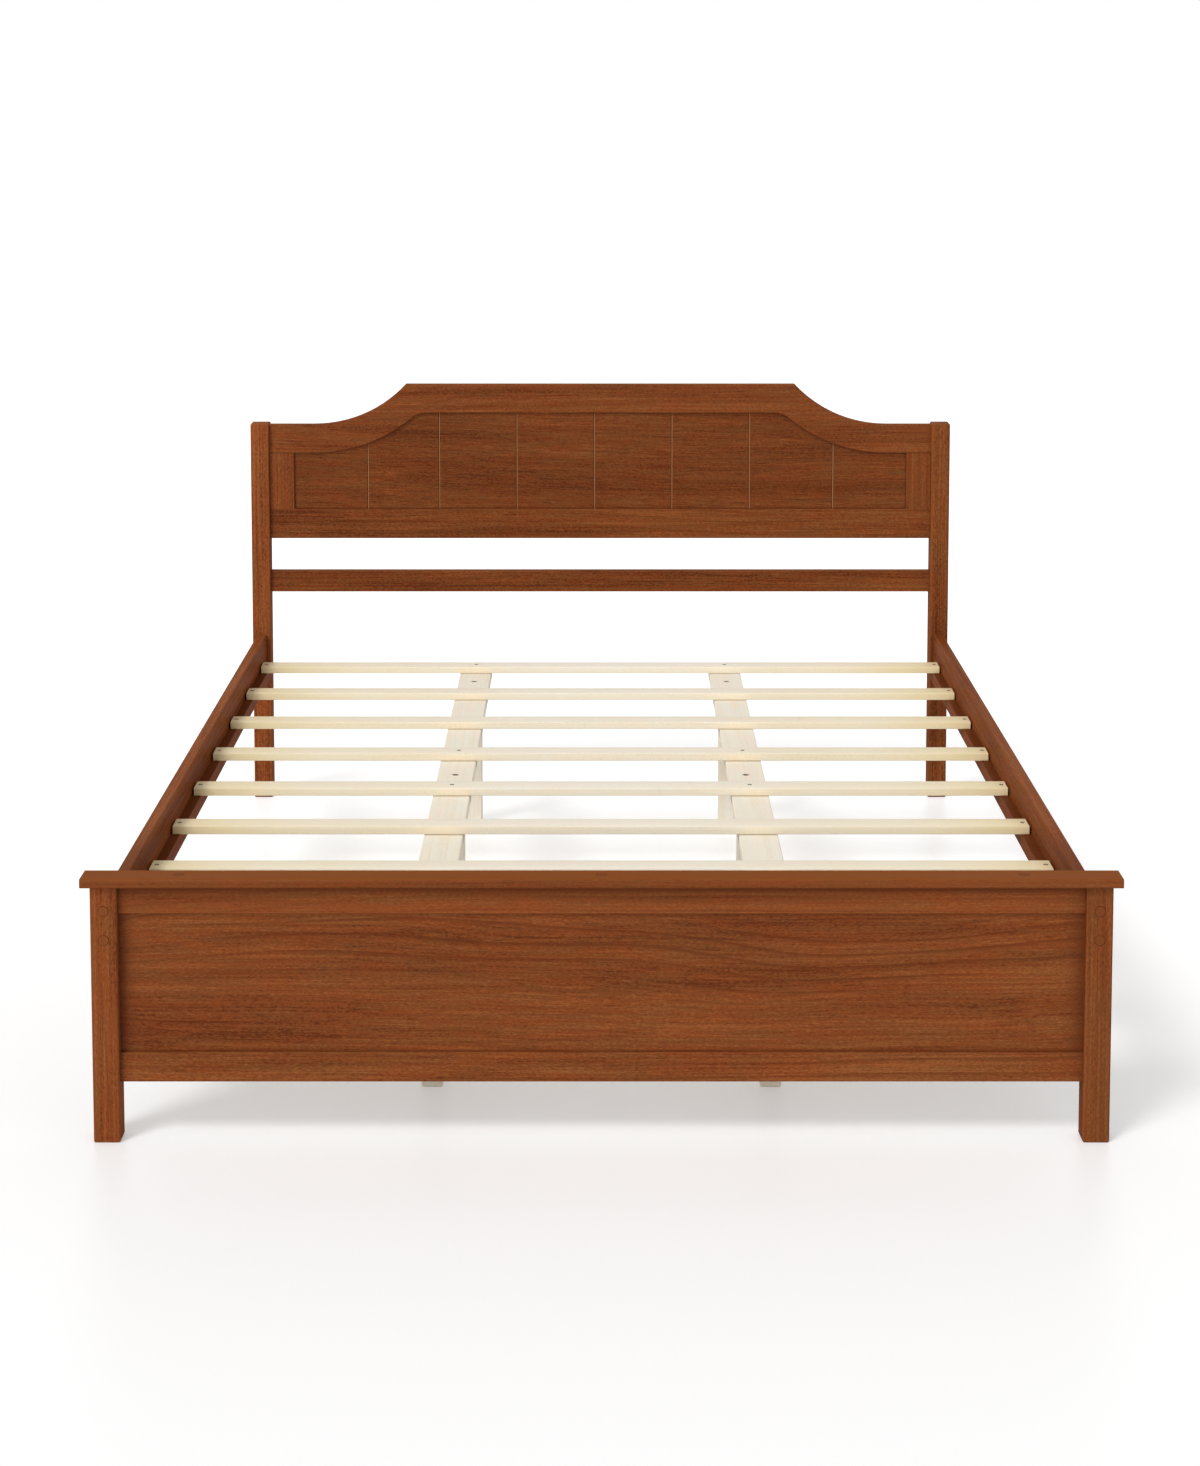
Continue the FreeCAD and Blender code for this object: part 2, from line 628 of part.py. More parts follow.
# Footboard panel, standing in the groove of the bottom rail
foot_panel = new_piece("foot_panel")
foot_panel_face = centred(sketch_on(foot_panel, "XZ_Plane"),
                          f"(2 * ({INNER_X} + sizes.groove_depth - sizes.panel_gap))",
                          f"{FOOT_LOW_RAIL[1]} - sizes.groove_depth",
                          f"{FOOT_RAIL[0]} + sizes.groove_depth - sizes.panel_gap")
pad(foot_panel, foot_panel_face, "sizes.panel_thickness", symmetric=True)
place(foot_panel, y=FOOT_Y)

# Footboard cap over posts and top rail, screwed to the rail under flush plugs
CAP_SEAT = "(sizes.cap_thickness - sizes.cap_plug_length)"
CAP_SCREW_X = f"({INNER_X} - sizes.cap_screw_gap)"
cap_screw_places = [(x, "-sizes.cap_screw_shift") for x in (f"-{CAP_SCREW_X}", "0", CAP_SCREW_X)]
cap = new_piece("foot_cap")
cap_face = centred(sketch_on(cap, "XY_Plane"), "(sizes.bed_width + 2 * sizes.cap_side)",
                   "-sizes.post_depth / 2 - sizes.cap_front", "sizes.post_depth / 2")
ease(cap, pad(cap, cap_face, "sizes.cap_thickness"), runs_along(Vector(1, 0, 0)), "sizes.cap_edge")
bore(cap, "XY_Plane", "sizes.cap_thickness", cap_screw_places,
     "(sizes.cap_plug_diameter + 2 * sizes.fit_clearance)", "sizes.cap_plug_length",
     flat_count=PLUG_FLAT_COUNT)
bore_for_screws(cap, "XY_Plane", CAP_SEAT, cap_screw_places, CAP_SEAT)
place(cap, y=FOOT_Y, z="sizes.foot_post_height")
bore(foot_rail, "XY_Plane", FOOT_RAIL[1], cap_screw_places, SCREW_HOLE,
     f"sizes.screw_length - {CAP_SEAT} + sizes.hole_end_gap")

# Side rails, bolted between the posts, with cross holes for barrel nuts
rail_bolt_places = [("0", z) for z in BOLT_HEIGHTS]
nut_ends = ("(sizes.nut_setback - sizes.rail_length / 2)", "(sizes.rail_length / 2 - sizes.nut_setback)")
nut_places = [(y, z) for y in nut_ends for z in BOLT_HEIGHTS]
bay_places = [bay_y(number) for number in LEDGER_SCREW_STEPS]
rail_depth = f"{BOLT_IN_RAIL} + sizes.hole_end_gap"
side_rail = new_piece("side_rail_left")
rail_section = centred(sketch_on(side_rail, "XZ_Plane"), "sizes.side_rail_thickness",
                       f"{RAIL_TOP} - sizes.side_rail_height", RAIL_TOP)
ease(side_rail, pad(side_rail, rail_section, "sizes.rail_length", symmetric=True),
     runs_along(Vector(0, 1, 0)), "sizes.side_rail_edge")
bore(side_rail, "XZ_Plane", "sizes.rail_length / 2", rail_bolt_places, BOLT_HOLE, rail_depth)
bore(side_rail, "XZ_Plane", "-sizes.rail_length / 2", rail_bolt_places, BOLT_HOLE,
     rail_depth, backwards=True)
bore(side_rail, "YZ_Plane", "sizes.side_rail_thickness / 2", nut_places,
     "(sizes.nut_diameter + 2 * sizes.fit_clearance)", "(sizes.side_rail_thickness + sizes.nut_length) / 2")
bore(side_rail, "YZ_Plane", "sizes.side_rail_thickness / 2",
     [(f"({y} - {RAIL_Y})", LEDGER_Z) for y in bay_places], SCREW_HOLE,
     "sizes.screw_length - sizes.ledger_width + sizes.hole_end_gap")
place(side_rail, f"-{POST_X}", RAIL_Y)
right_hand("side_rail_right", side_rail)

# Ledgers, screwed to the side rails' inner faces, that carry the slats' ends
PILOT_DEPTH = "(sizes.screw_length - sizes.slat_thickness + sizes.hole_end_gap)"
ledger = new_piece("ledger_left")
ledger_section = centred(sketch_on(ledger, "XZ_Plane"), "sizes.ledger_width",
                         "-sizes.ledger_height / 2", "sizes.ledger_height / 2")
ledger_stock = pad(ledger, ledger_section, "(sizes.rail_length - 2 * sizes.ledger_end_gap)", symmetric=True)
bevel(ledger, ledger_stock, runs_along(Vector(0, 1, 0)), "sizes.ledger_edge")
bore(ledger, "XY_Plane", "sizes.ledger_height / 2",
     [(f"({LEDGER_X} - {SCREW_X})", f"({slat_y(number)} - {RAIL_Y})") for number in range(SLAT_COUNT)],
     SCREW_HOLE, PILOT_DEPTH)
bore_for_screws(ledger, "YZ_Plane", "sizes.ledger_width / 2",
                [(f"({y} - {RAIL_Y})", "0") for y in bay_places], "sizes.ledger_width")
place(ledger, f"-{LEDGER_X}", RAIL_Y, LEDGER_Z)
right_hand("ledger_right", ledger)

# Slats, screwed to both ledgers, and four of them to the centre beams as well
for number in range(SLAT_COUNT):
    slat = new_piece(f"slat_{number + 1}")
    slat_section = centred(sketch_on(slat, "YZ_Plane"), "sizes.slat_width", "0", "sizes.slat_thickness")
    slat_stock = pad(slat, slat_section, f"2 * {SLAT_HALF}", symmetric=True)
    bevel(slat, slat_stock, runs_along(Vector(1, 0, 0)), "sizes.slat_edge")
    places = [f"-{SCREW_X}", SCREW_X]
    if number in BEAM_SCREW_STEPS:
        places += ["-sizes.beam_spread", "sizes.beam_spread"]
    bore_for_screws(slat, "XY_Plane", "sizes.slat_thickness",
                    [(x, "0") for x in places], "sizes.slat_thickness")
    place(slat, y=slat_y(number), z=SLAT_LOW)

# Centre beams, lying flat under the slats, bolted down on their legs
BEAM_Y = f"({slat_y(0)} - sizes.slat_width / 2)"
leg_marks = [("0", y) for y in LEG_PLACES.values()]
beam = new_piece("centre_beam_left")
beam_section = centred(sketch_on(beam, "XZ_Plane"), "sizes.beam_width", "0", "sizes.beam_thickness")
bevel(beam, pad(beam, beam_section, BEAM_LENGTH, backwards=True),
      runs_along(Vector(0, 1, 0)), "sizes.beam_edge")
bore(beam, "XY_Plane", "sizes.beam_thickness",
     [("0", f"({number} * {SLAT_PITCH} + sizes.slat_width / 2)") for number in BEAM_SCREW_STEPS],
     SCREW_HOLE, PILOT_DEPTH)
bore(beam, "XY_Plane", "sizes.beam_thickness", leg_marks,
     "(sizes.leg_bolt_diameter + 2 * sizes.bolt_clearance)", "sizes.beam_thickness")
bore(beam, "XY_Plane", "sizes.beam_thickness", leg_marks,
     "(sizes.leg_bolt_head_diameter + 2 * sizes.bolt_clearance)", "sizes.leg_bolt_recess")
place(beam, "-sizes.beam_spread", BEAM_Y, BEAM_LOW)
right_hand("centre_beam_right", beam)

# Square centre legs, bored at the top for a threaded insert
AXIS = [("0", "0")]
for name, y in LEG_PLACES.items():
    leg = new_piece(f"centre_leg_left_{name}")
    leg_section = centred(sketch_on(leg, "XY_Plane"), "sizes.leg_width",
                          "-sizes.leg_width / 2", "sizes.leg_width / 2")
    bevel(leg, pad(leg, leg_section, BEAM_LOW), stands, "sizes.leg_edge")
    bore(leg, "XY_Plane", BEAM_LOW, AXIS, "(sizes.insert_diameter + 2 * sizes.fit_clearance)",
         "sizes.insert_length + sizes.hole_end_gap")
    place(leg, "-sizes.beam_spread", f"{BEAM_Y} + {y}")
    right_hand(f"centre_leg_right_{name}", leg)


# Fasteners. A pattern points down its own Z axis from a seat at its origin.

def rod(body, diameter, length, backwards=False, flat_count=FLAT_COUNT):
    """A round length of wood or metal, up or down from the seat."""
    section = rounds(sketch_on(body, "XY_Plane"), AXIS, diameter, flat_count)
    return pad(body, section, length, backwards=backwards)


DOWN = Rotation()
TO_HEAD = Rotation(Vector(1, 0, 0), 90)
TO_FOOT = Rotation(Vector(1, 0, 0), -90)
TO_LEFT = Rotation(Vector(0, 1, 0), 90)
TO_RIGHT = Rotation(Vector(0, 1, 0), -90)
SIDES = (f"-{POST_X}", POST_X)
BEAMS = ("-sizes.beam_spread", "sizes.beam_spread")

bolt = new_pattern("bolt_pattern")
rod(bolt, "sizes.bolt_diameter", "sizes.bolt_length", backwards=True)
rod(bolt, "sizes.bolt_head_diameter", "sizes.bolt_head_height")
bolt_seats = ((f"({FOOT_Y} - sizes.post_depth / 2 + {BOLT_RECESS})", TO_HEAD),
              (f"({HEAD_Y} + sizes.post_depth / 2 - {BOLT_RECESS})", TO_FOOT))
group("rail_bolts", bolt, [(x, y, z, aim) for x in SIDES for z in BOLT_HEIGHTS for y, aim in bolt_seats])

plug = new_pattern("plug_pattern")
rod(plug, "sizes.plug_diameter", "sizes.plug_length - sizes.plug_proud", True, PLUG_FLAT_COUNT)
plug_head = rod(plug, "sizes.plug_diameter", "sizes.plug_proud", False, PLUG_FLAT_COUNT)
bevel(plug, plug_head, lies_at("sizes.plug_proud"), "sizes.plug_edge")
plug_seats = ((f"({FOOT_Y} - sizes.post_depth / 2)", TO_HEAD),
              (f"({HEAD_Y} + sizes.post_depth / 2)", TO_FOOT))
group("bolt_plugs", plug, [(x, y, z, aim) for x in SIDES for z in BOLT_HEIGHTS for y, aim in plug_seats])

nut = new_pattern("nut_pattern")
nut_section = rounds(sketch_on(nut, "YZ_Plane"), AXIS, "sizes.nut_diameter")
pad(nut, nut_section, "sizes.nut_length", symmetric=True)
nut_thread = rounds(sketch_on(nut, "XZ_Plane"), AXIS, "(sizes.bolt_diameter + 2 * sizes.fit_clearance)")
pocket(nut, nut_thread, "2 * sizes.nut_diameter", symmetric=True)
group("barrel_nuts", nut, [(x, f"{RAIL_Y} + {y}", z, DOWN) for x in SIDES for y, z in nut_places])

screw = new_pattern("screw_pattern")
rod(screw, "sizes.screw_diameter", "sizes.screw_length", backwards=True)
screw_head = rounds(sketch_on(screw, "XY_Plane"), AXIS, "sizes.screw_head_diameter")
pad(screw, screw_head, SINK_DEPTH, backwards=True, taper_degrees=-SINK_DEGREES)
end_screws = [(x, slat_y(number), SLAT_TOP, DOWN)
              for number in range(SLAT_COUNT) for x in (f"-{SCREW_X}", SCREW_X)]
beam_screws = [(x, slat_y(number), SLAT_TOP, DOWN) for number in BEAM_SCREW_STEPS for x in BEAMS]
group("slat_screws", screw, end_screws + beam_screws)
LEDGER_FACE = f"({LEDGER_X} - sizes.ledger_width / 2)"
ledger_sides = ((f"-{LEDGER_FACE}", TO_LEFT), (LEDGER_FACE, TO_RIGHT))
group("ledger_screws", screw, [(x, y, LEDGER_Z, aim) for y in bay_places for x, aim in ledger_sides])

leg_bolt = new_pattern("leg_bolt_pattern")
rod(leg_bolt, "sizes.leg_bolt_diameter", "sizes.beam_thickness - sizes.leg_bolt_recess"
    " + sizes.insert_length - sizes.insert_end_gap", backwards=True)
rod(leg_bolt, "sizes.leg_bolt_head_diameter", "sizes.leg_bolt_head_height")
leg_spots = [(x, f"{BEAM_Y} + {y}") for x in BEAMS for y in LEG_PLACES.values()]
group("leg_bolts", leg_bolt, [(x, y, f"{SLAT_LOW} - sizes.leg_bolt_recess", DOWN) for x, y in leg_spots])

insert = new_pattern("insert_pattern")
rod(insert, "sizes.insert_diameter", "sizes.insert_length", backwards=True)
bore(insert, "XY_Plane", "0", AXIS, "(sizes.leg_bolt_diameter + 2 * sizes.fit_clearance)",
     "sizes.insert_length")
group("leg_inserts", insert, [(x, y, BEAM_LOW, DOWN) for x, y in leg_spots])

cap_plug = new_pattern("cap_plug_pattern")
rod(cap_plug, "sizes.cap_plug_diameter", "sizes.cap_plug_length", True, PLUG_FLAT_COUNT)
cap_spots = [(x, f"({FOOT_Y} - sizes.cap_screw_shift)") for x, _ in cap_screw_places]
cap_top = "(sizes.foot_post_height + sizes.cap_thickness)"
group("cap_screws", screw, [(x, y, f"{cap_top} - sizes.cap_plug_length", DOWN) for x, y in cap_spots])
group("cap_plugs", cap_plug, [(x, y, cap_top, DOWN) for x, y in cap_spots])


# Build, check every object, and write one file for each piece
doc.recompute()
for item in doc.Objects:
    if "Invalid" in item.State or "Error" in item.State:
        raise RuntimeError(f"{item.Name} failed: {item.State}")
    if item.isDerivedFrom("Sketcher::SketchObject") and not item.FullyConstrained:
        raise RuntimeError(f"{item.Name} is not fully constrained")
    if item.TypeId == "PartDesign::Pocket" and item.Shape.Volume >= item.BaseFeature.Shape.Volume:
        raise RuntimeError(f"{item.Name} cuts nothing")
for node in nodes:
    if node.Shape.isNull() or not node.Shape.isValid():
        raise RuntimeError(f"{node.Label} has no valid shape")

os.makedirs("parts", exist_ok=True)
for node in nodes:
    node.Shape.exportStep(f"parts/{node.Label}.step")
print(f"{len(nodes)} pieces, {sum(len(node.Shape.Solids) for node in nodes)} solids")
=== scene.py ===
import math

import bpy
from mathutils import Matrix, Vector


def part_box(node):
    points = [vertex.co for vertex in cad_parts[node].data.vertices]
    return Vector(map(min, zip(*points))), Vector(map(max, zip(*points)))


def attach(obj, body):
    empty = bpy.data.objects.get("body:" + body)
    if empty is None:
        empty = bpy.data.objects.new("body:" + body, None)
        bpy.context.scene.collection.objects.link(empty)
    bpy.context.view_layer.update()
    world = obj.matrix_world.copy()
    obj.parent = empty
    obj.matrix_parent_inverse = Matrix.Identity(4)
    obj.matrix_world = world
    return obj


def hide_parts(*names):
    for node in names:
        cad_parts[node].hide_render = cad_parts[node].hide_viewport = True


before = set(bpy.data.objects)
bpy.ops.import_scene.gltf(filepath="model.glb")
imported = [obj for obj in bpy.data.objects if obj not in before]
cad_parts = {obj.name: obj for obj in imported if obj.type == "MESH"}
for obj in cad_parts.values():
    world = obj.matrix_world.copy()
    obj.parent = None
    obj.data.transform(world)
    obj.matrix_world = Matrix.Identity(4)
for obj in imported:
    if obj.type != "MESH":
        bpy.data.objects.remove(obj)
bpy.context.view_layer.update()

# Head posts
# Two square posts of stained hardwood, planed straight with the arrises broken by hand.
# The headboard's rails are tenoned into their inner faces, the side rails bolt on in front.


def add(tree, kind, values=None, **settings):
    """A node of a tree, with its settings, and a number or a link for each named input."""
    node = tree.nodes.new(kind)
    for name, setting in settings.items():
        setattr(node, name, setting)
    for key, value in (values or {}).items():
        if isinstance(value, bpy.types.NodeSocket):
            tree.links.new(value, node.inputs[key])
        else:
            node.inputs[key].default_value = value
    return node


def blend_colours(tree, factor, first, second, mode="MIX"):
    """One colour laid over another, each a link or its red, green and blue."""
    first, second = ((*colour, 1.0) if isinstance(colour, tuple) else colour for colour in (first, second))
    node = add(tree, "ShaderNodeMix", {0: factor, 6: first, 7: second}, data_type="RGBA", blend_type=mode)
    return node.outputs[2]


def calculate(tree, operation, first, second=0.0):
    """One sum on one value or on two."""
    return add(tree, "ShaderNodeMath", {0: first, 1: second}, operation=operation).outputs[0]


def combine(tree, operation, *vectors):
    """One sum on whole vectors."""
    return add(tree, "ShaderNodeVectorMath", dict(enumerate(vectors)), operation=operation).outputs[0]


def stretched_noise(tree, vector, along, across, detail, roughness):
    """Noise drawn out along the grain: features per metre along it and across it."""
    stretched = combine(tree, "MULTIPLY", vector, (along, across, across))
    noise = add(tree, "ShaderNodeTexNoise",
                {"Vector": stretched, "Scale": 1.0, "Detail": detail, "Roughness": roughness})
    return noise.outputs["Fac"]


def spread(tree, value, low, high):
    """A value stretched so that low becomes 0 and high becomes 1."""
    node = add(tree, "ShaderNodeMapRange", {"Value": value, "From Min": low, "From Max": high},
               interpolation_type="SMOOTHSTEP")
    return node.outputs[0]


def shader_group(name, inputs, outputs):
    """An empty shader group with named sockets."""
    tree = bpy.data.node_groups.new(name, "ShaderNodeTree")
    for socket, kind in inputs:
        tree.interface.new_socket(socket, in_out="INPUT", socket_type=kind)
    for socket, kind in outputs:
        tree.interface.new_socket(socket, in_out="OUTPUT", socket_type=kind)
    return tree, tree.nodes.new("NodeGroupInput").outputs, tree.nodes.new("NodeGroupOutput").inputs


# Grain runs along the group's own X axis, and wanders a little to the side
NOISE_MEAN = 0.5
grain, grain_in, grain_out = shader_group(
    "Wood grain",
    [("Vector", "NodeSocketVector"), ("Light", "NodeSocketColor"), ("Middle", "NodeSocketColor"),
     ("Dark", "NodeSocketColor"), ("Wander", "NodeSocketFloat"), ("Pores", "NodeSocketFloat"),
     ("Contrast", "NodeSocketFloat"), ("Year Lines", "NodeSocketFloat"), ("Tint", "NodeSocketFloat")],
    [("Color", "NodeSocketColor"), ("Height", "NodeSocketFloat"), ("Roughness", "NodeSocketFloat")])
drift = stretched_noise(grain, grain_in["Vector"], along=0.8, across=3.0, detail=2.0, roughness=0.5)
drift = calculate(grain, "MULTIPLY", calculate(grain, "SUBTRACT", drift, NOISE_MEAN), grain_in["Wander"])
aside = add(grain, "ShaderNodeCombineXYZ", {"Y": drift, "Z": drift}).outputs[0]
bent = combine(grain, "ADD", grain_in["Vector"], aside)

# The figures that make up its tone: features per metre along and across, detail, roughness, share
FIGURES = {
    "bands": (0.8, 26.0, 3.0, 0.55, 0.20),
    "lines": (1.3, 250.0, 4.0, 0.6, 0.24),
    "fibre": (6.0, 760.0, 2.0, 0.5, 0.14),
    "flecks": (170.0, 480.0, 2.0, 0.6, 0.29),
    "clouds": (1.8, 9.0, 2.0, 0.5, 0.13),
}
tone = 0.0
for along, across, detail, roughness, share in FIGURES.values():
    figure = stretched_noise(grain, bent, along, across, detail, roughness)
    tone = calculate(grain, "ADD", tone, calculate(grain, "MULTIPLY", figure, share))
tone = calculate(grain, "MULTIPLY", calculate(grain, "SUBTRACT", tone, NOISE_MEAN), grain_in["Contrast"])
tone = calculate(grain, "ADD", tone, NOISE_MEAN)

# Short dark pores
pore = stretched_noise(grain, bent, along=34.0, across=620.0, detail=1.0, roughness=0.5)
pitted = calculate(grain, "MULTIPLY", spread(grain, pore, 0.57, 0.72), grain_in["Pores"])

# Year lines: the log's rings, cut by the board at a slant, leave thin dark lines that sweep together
RINGS_PER_METRE = 45.0
RING_SWEEP = 7.0
log = add(grain, "ShaderNodeSeparateXYZ", {0: bent}).outputs
sweep = stretched_noise(grain, bent, along=0.9, across=2.5, detail=1.0, roughness=0.4)
sweep = calculate(grain, "MULTIPLY", sweep, RING_SWEEP)
ring = calculate(grain, "MULTIPLY", calculate(grain, "ADD", log["Y"], log["Z"]), RINGS_PER_METRE)
ring = calculate(grain, "FRACT", calculate(grain, "ADD", ring, sweep))
ring = calculate(grain, "MULTIPLY", spread(grain, ring, 0.66, 0.97), spread(grain, ring, 1.0, 0.98))
shown = stretched_noise(grain, bent, along=1.3, across=9.0, detail=2.0, roughness=0.5)
ring = calculate(grain, "MULTIPLY", ring, spread(grain, shown, 0.44, 0.62))
ring = calculate(grain, "MULTIPLY", ring, grain_in["Year Lines"])

# The colour runs from dark to light with the tone, a little redder or cooler in patches
COOLER = (0.94, 1.05, 1.10)
REDDER = (1.06, 0.95, 0.90)
wood = blend_colours(grain, spread(grain, tone, 0.1, 0.5), grain_in["Dark"], grain_in["Middle"])
wood = blend_colours(grain, spread(grain, tone, 0.5, 0.9), wood, grain_in["Light"])
wood = blend_colours(grain, calculate(grain, "MAXIMUM", pitted, ring), wood, grain_in["Dark"])
patches = stretched_noise(grain, grain_in["Vector"], along=9.0, across=70.0, detail=3.0, roughness=0.6)
tint = blend_colours(grain, spread(grain, patches, 0.3, 0.7), COOLER, REDDER)
wood = blend_colours(grain, grain_in["Tint"], wood, tint, "MULTIPLY")
grain.links.new(wood, grain_out["Color"])
grain.links.new(calculate(grain, "SUBTRACT", tone, pitted), grain_out["Height"])

# Dark wood is duller than light wood
DARK_ROUGHNESS = 0.46
ROUGHNESS_CHANGE = -0.14
rough = calculate(grain, "MULTIPLY", tone, ROUGHNESS_CHANGE)
grain.links.new(calculate(grain, "ADD", rough, DARK_ROUGHNESS), grain_out["Roughness"])

# Along the arrises of a board the stain is rubbed thinner: a mask from the distance to its edges
arris, arris_in, arris_out = shader_group(
    "Rubbed arris",
    [("Vector", "NodeSocketVector"), ("Centre", "NodeSocketVector"), ("Half Size", "NodeSocketVector"),
     ("Width", "NodeSocketFloat")],
    [("Edge", "NodeSocketFloat")])
from_middle = combine(arris, "SUBTRACT", arris_in["Vector"], arris_in["Centre"])
from_middle = combine(arris, "ABSOLUTE", from_middle)
to_faces = combine(arris, "SUBTRACT", arris_in["Half Size"], from_middle)
faces = add(arris, "ShaderNodeSeparateXYZ", {0: to_faces}).outputs
nearest, furthest, total = (
    calculate(arris, operation, calculate(arris, operation, faces["X"], faces["Y"]), faces["Z"])
    for operation in ("MINIMUM", "MAXIMUM", "ADD"))
to_edge = calculate(arris, "SUBTRACT", calculate(arris, "SUBTRACT", total, nearest), furthest)
near_edge = spread(arris, calculate(arris, "DIVIDE", to_edge, arris_in["Width"]), 1.0, 0.0)
uneven = add(arris, "ShaderNodeTexNoise", {"Vector": arris_in["Vector"], "Scale": 26.0, "Detail": 3.0})
uneven = spread(arris, uneven.outputs["Fac"], 0.3, 0.7)
arris.links.new(calculate(arris, "MULTIPLY", near_edge, uneven), arris_out["Edge"])

ALONG = {"X": (0.0, 0.0, 0.0), "Y": (0.0, 0.0, -math.pi / 2), "Z": (0.0, math.pi / 2, 0.0)}
ARRIS_WIDTH = 0.005
GRAIN_RELIEF = 0.25
GRAIN_DEPTH = 0.0006
COAT_ROUGHNESS = 0.3


def wood_material(name, box, along, shift, colours, wander, pores, contrast, worn, sheen, coat,
                  year_lines=0.0, tint=0.3):
    """Wood with its grain along one axis, rubbed at the arrises of its box."""
    light, middle, dark = colours
    low, high = box
    material = bpy.data.materials.new(name)
    material.use_nodes = True
    tree = material.node_tree
    principled = tree.nodes["Principled BSDF"]
    place = add(tree, "ShaderNodeTexCoord").outputs["Object"]
    laid = add(tree, "ShaderNodeMapping", {"Vector": place, "Location": shift, "Rotation": ALONG[along]})
    board = add(tree, "ShaderNodeGroup", node_tree=grain)
    tree.links.new(laid.outputs[0], board.inputs["Vector"])
    for socket, value in (("Light", (*light, 1.0)), ("Middle", (*middle, 1.0)), ("Dark", (*dark, 1.0)),
                          ("Wander", wander), ("Pores", pores), ("Contrast", contrast),
                          ("Year Lines", year_lines), ("Tint", tint)):
        board.inputs[socket].default_value = value
    edge = add(tree, "ShaderNodeGroup", node_tree=arris)
    tree.links.new(place, edge.inputs["Vector"])
    edge.inputs["Centre"].default_value = (low + high) / 2
    edge.inputs["Half Size"].default_value = (high - low) / 2
    edge.inputs["Width"].default_value = ARRIS_WIDTH
    rubbed = calculate(tree, "MULTIPLY", edge.outputs["Edge"], worn)
    colour = blend_colours(tree, rubbed, board.outputs["Color"], light)
    bump = add(tree, "ShaderNodeBump", {"Height": board.outputs["Height"], "Strength": GRAIN_RELIEF,
                                        "Distance": GRAIN_DEPTH})
    tree.links.new(colour, principled.inputs["Base Color"])
    tree.links.new(board.outputs["Roughness"], principled.inputs["Roughness"])
    tree.links.new(bump.outputs[0], principled.inputs["Normal"])
    principled.inputs["Specular IOR Level"].default_value = sheen
    principled.inputs["Coat Weight"].default_value = coat
    principled.inputs["Coat Roughness"].default_value = COAT_ROUGHNESS
    return material


def dress(node, material):
    """Give a CAD piece its finish."""
    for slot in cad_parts[node].material_slots:
        slot.material = material


STAIN = ((0.290, 0.092, 0.026), (0.210, 0.0575, 0.0155), (0.115, 0.027, 0.0075))
# The stain's dark tone, which also colours painted shade and the seams round the plugs
DARK_TONE = STAIN[2]
STAIN_WEAR = 0.4
STAIN_TINT = 1.0
SATIN = {"sheen": 0.0, "coat": 0.10}


def shaded(shade):
    """The walnut-brown stain made lighter or darker: its light, middle and dark tones."""
    return [tuple(shade * part for part in colour) for colour in STAIN]


def stained(node, along, shift, shade, wander, pores, contrast, year_lines=0.3):
    """The satin stain on one piece."""
    material = wood_material(f"stain_{node}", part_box(node), along, shift, shaded(shade), wander, pores,
                             contrast, worn=STAIN_WEAR, year_lines=year_lines, tint=STAIN_TINT, **SATIN)
    dress(node, material)
    return material


stained("head_post_left", "Z", (0.3, 1.1, 0.2), shade=1.19, wander=0.02, pores=0.2, contrast=5.0)
stained("head_post_right", "Z", (1.7, 2.3, 0.9), shade=0.91, wander=0.02, pores=0.2, contrast=6.0)

# Arched headboard rail
# One wide board bandsawn to a flat crest, hollow sweeps and straight shoulders.
# It is grooved underneath for the panel, and tenoned into the posts.
stained("head_arch_rail", "X", (2.2, 0.4, 3.1), shade=0.96, wander=0.06, pores=0.25, contrast=4.4)

# Headboard stiles
# Short upright boards beside the posts, with stub tenons in the grooves of the two rails.
# A dark line of stain stands where they butt against the arched rail.


def coordinates(tree):
    """Where a material is on its piece, as single coordinates."""
    place = add(tree, "ShaderNodeTexCoord").outputs["Object"]
    return add(tree, "ShaderNodeSeparateXYZ", {0: place}).outputs


def lay_over(material, share, colour, mode="MIX"):
    """Lay a colour over what a finish already shows."""
    tree = material.node_tree
    base = tree.nodes["Principled BSDF"].inputs["Base Color"]
    tree.links.new(blend_colours(tree, share, base.links[0].from_socket, colour, mode), base)


def colour_band(material, axis, start, end, share, colour=DARK_TONE):
    """A colour laid along an axis: none at start, its share at end, both sides alike along X. It draws
    painted shade, painted light and dark joint lines.
    """
    tree = material.node_tree
    place = coordinates(tree)[axis]
    if axis == "X":
        place = calculate(tree, "ABSOLUTE", place)
    lay_over(material, calculate(tree, "MULTIPLY", spread(tree, place, start, end), share), colour)


arch_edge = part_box("head_arch_rail")[0].z
for stile, shift, shade in (("head_stile_left", (0.9, 4.2, 1.3), 1.04),
                            ("head_stile_right", (3.6, 0.7, 2.8), 0.97)):
    stile_finish = stained(stile, "Z", shift, shade, wander=0.02, pores=0.2, contrast=4.2)
    colour_band(stile_finish, "Z", start=arch_edge - 0.003, end=arch_edge, share=0.7)

# Headboard bottom rail
# A straight board tenoned between the posts, grooved along its top for the panel.
stained("head_bottom_rail", "X", (5.1, 1.9, 0.6), shade=0.87, wander=0.06, pores=0.25, contrast=5.4)

# Headboard panel
# A veneered panel with coarse open grain, scored with seven upright vee grooves.
# It floats in the grooves of the rails and stiles, and painted shade darkens its corners.
panel_finish = stained("head_panel", "X", (7.4, 2.7, 1.8), shade=0.83, wander=0.08, pores=0.8, contrast=4.2,
                       year_lines=0.2)
PANEL_CORNER_SHADE = 0.005
head_rail_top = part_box("head_bottom_rail")[1].z
stile_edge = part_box("head_stile_right")[0].x
# Painted shade in the panel's corners along the bottom rail and the stiles
colour_band(panel_finish, "Z", start=head_rail_top + PANEL_CORNER_SHADE, end=head_rail_top, share=0.7)
colour_band(panel_finish, "X", start=stile_edge - PANEL_CORNER_SHADE, end=stile_edge, share=0.7)
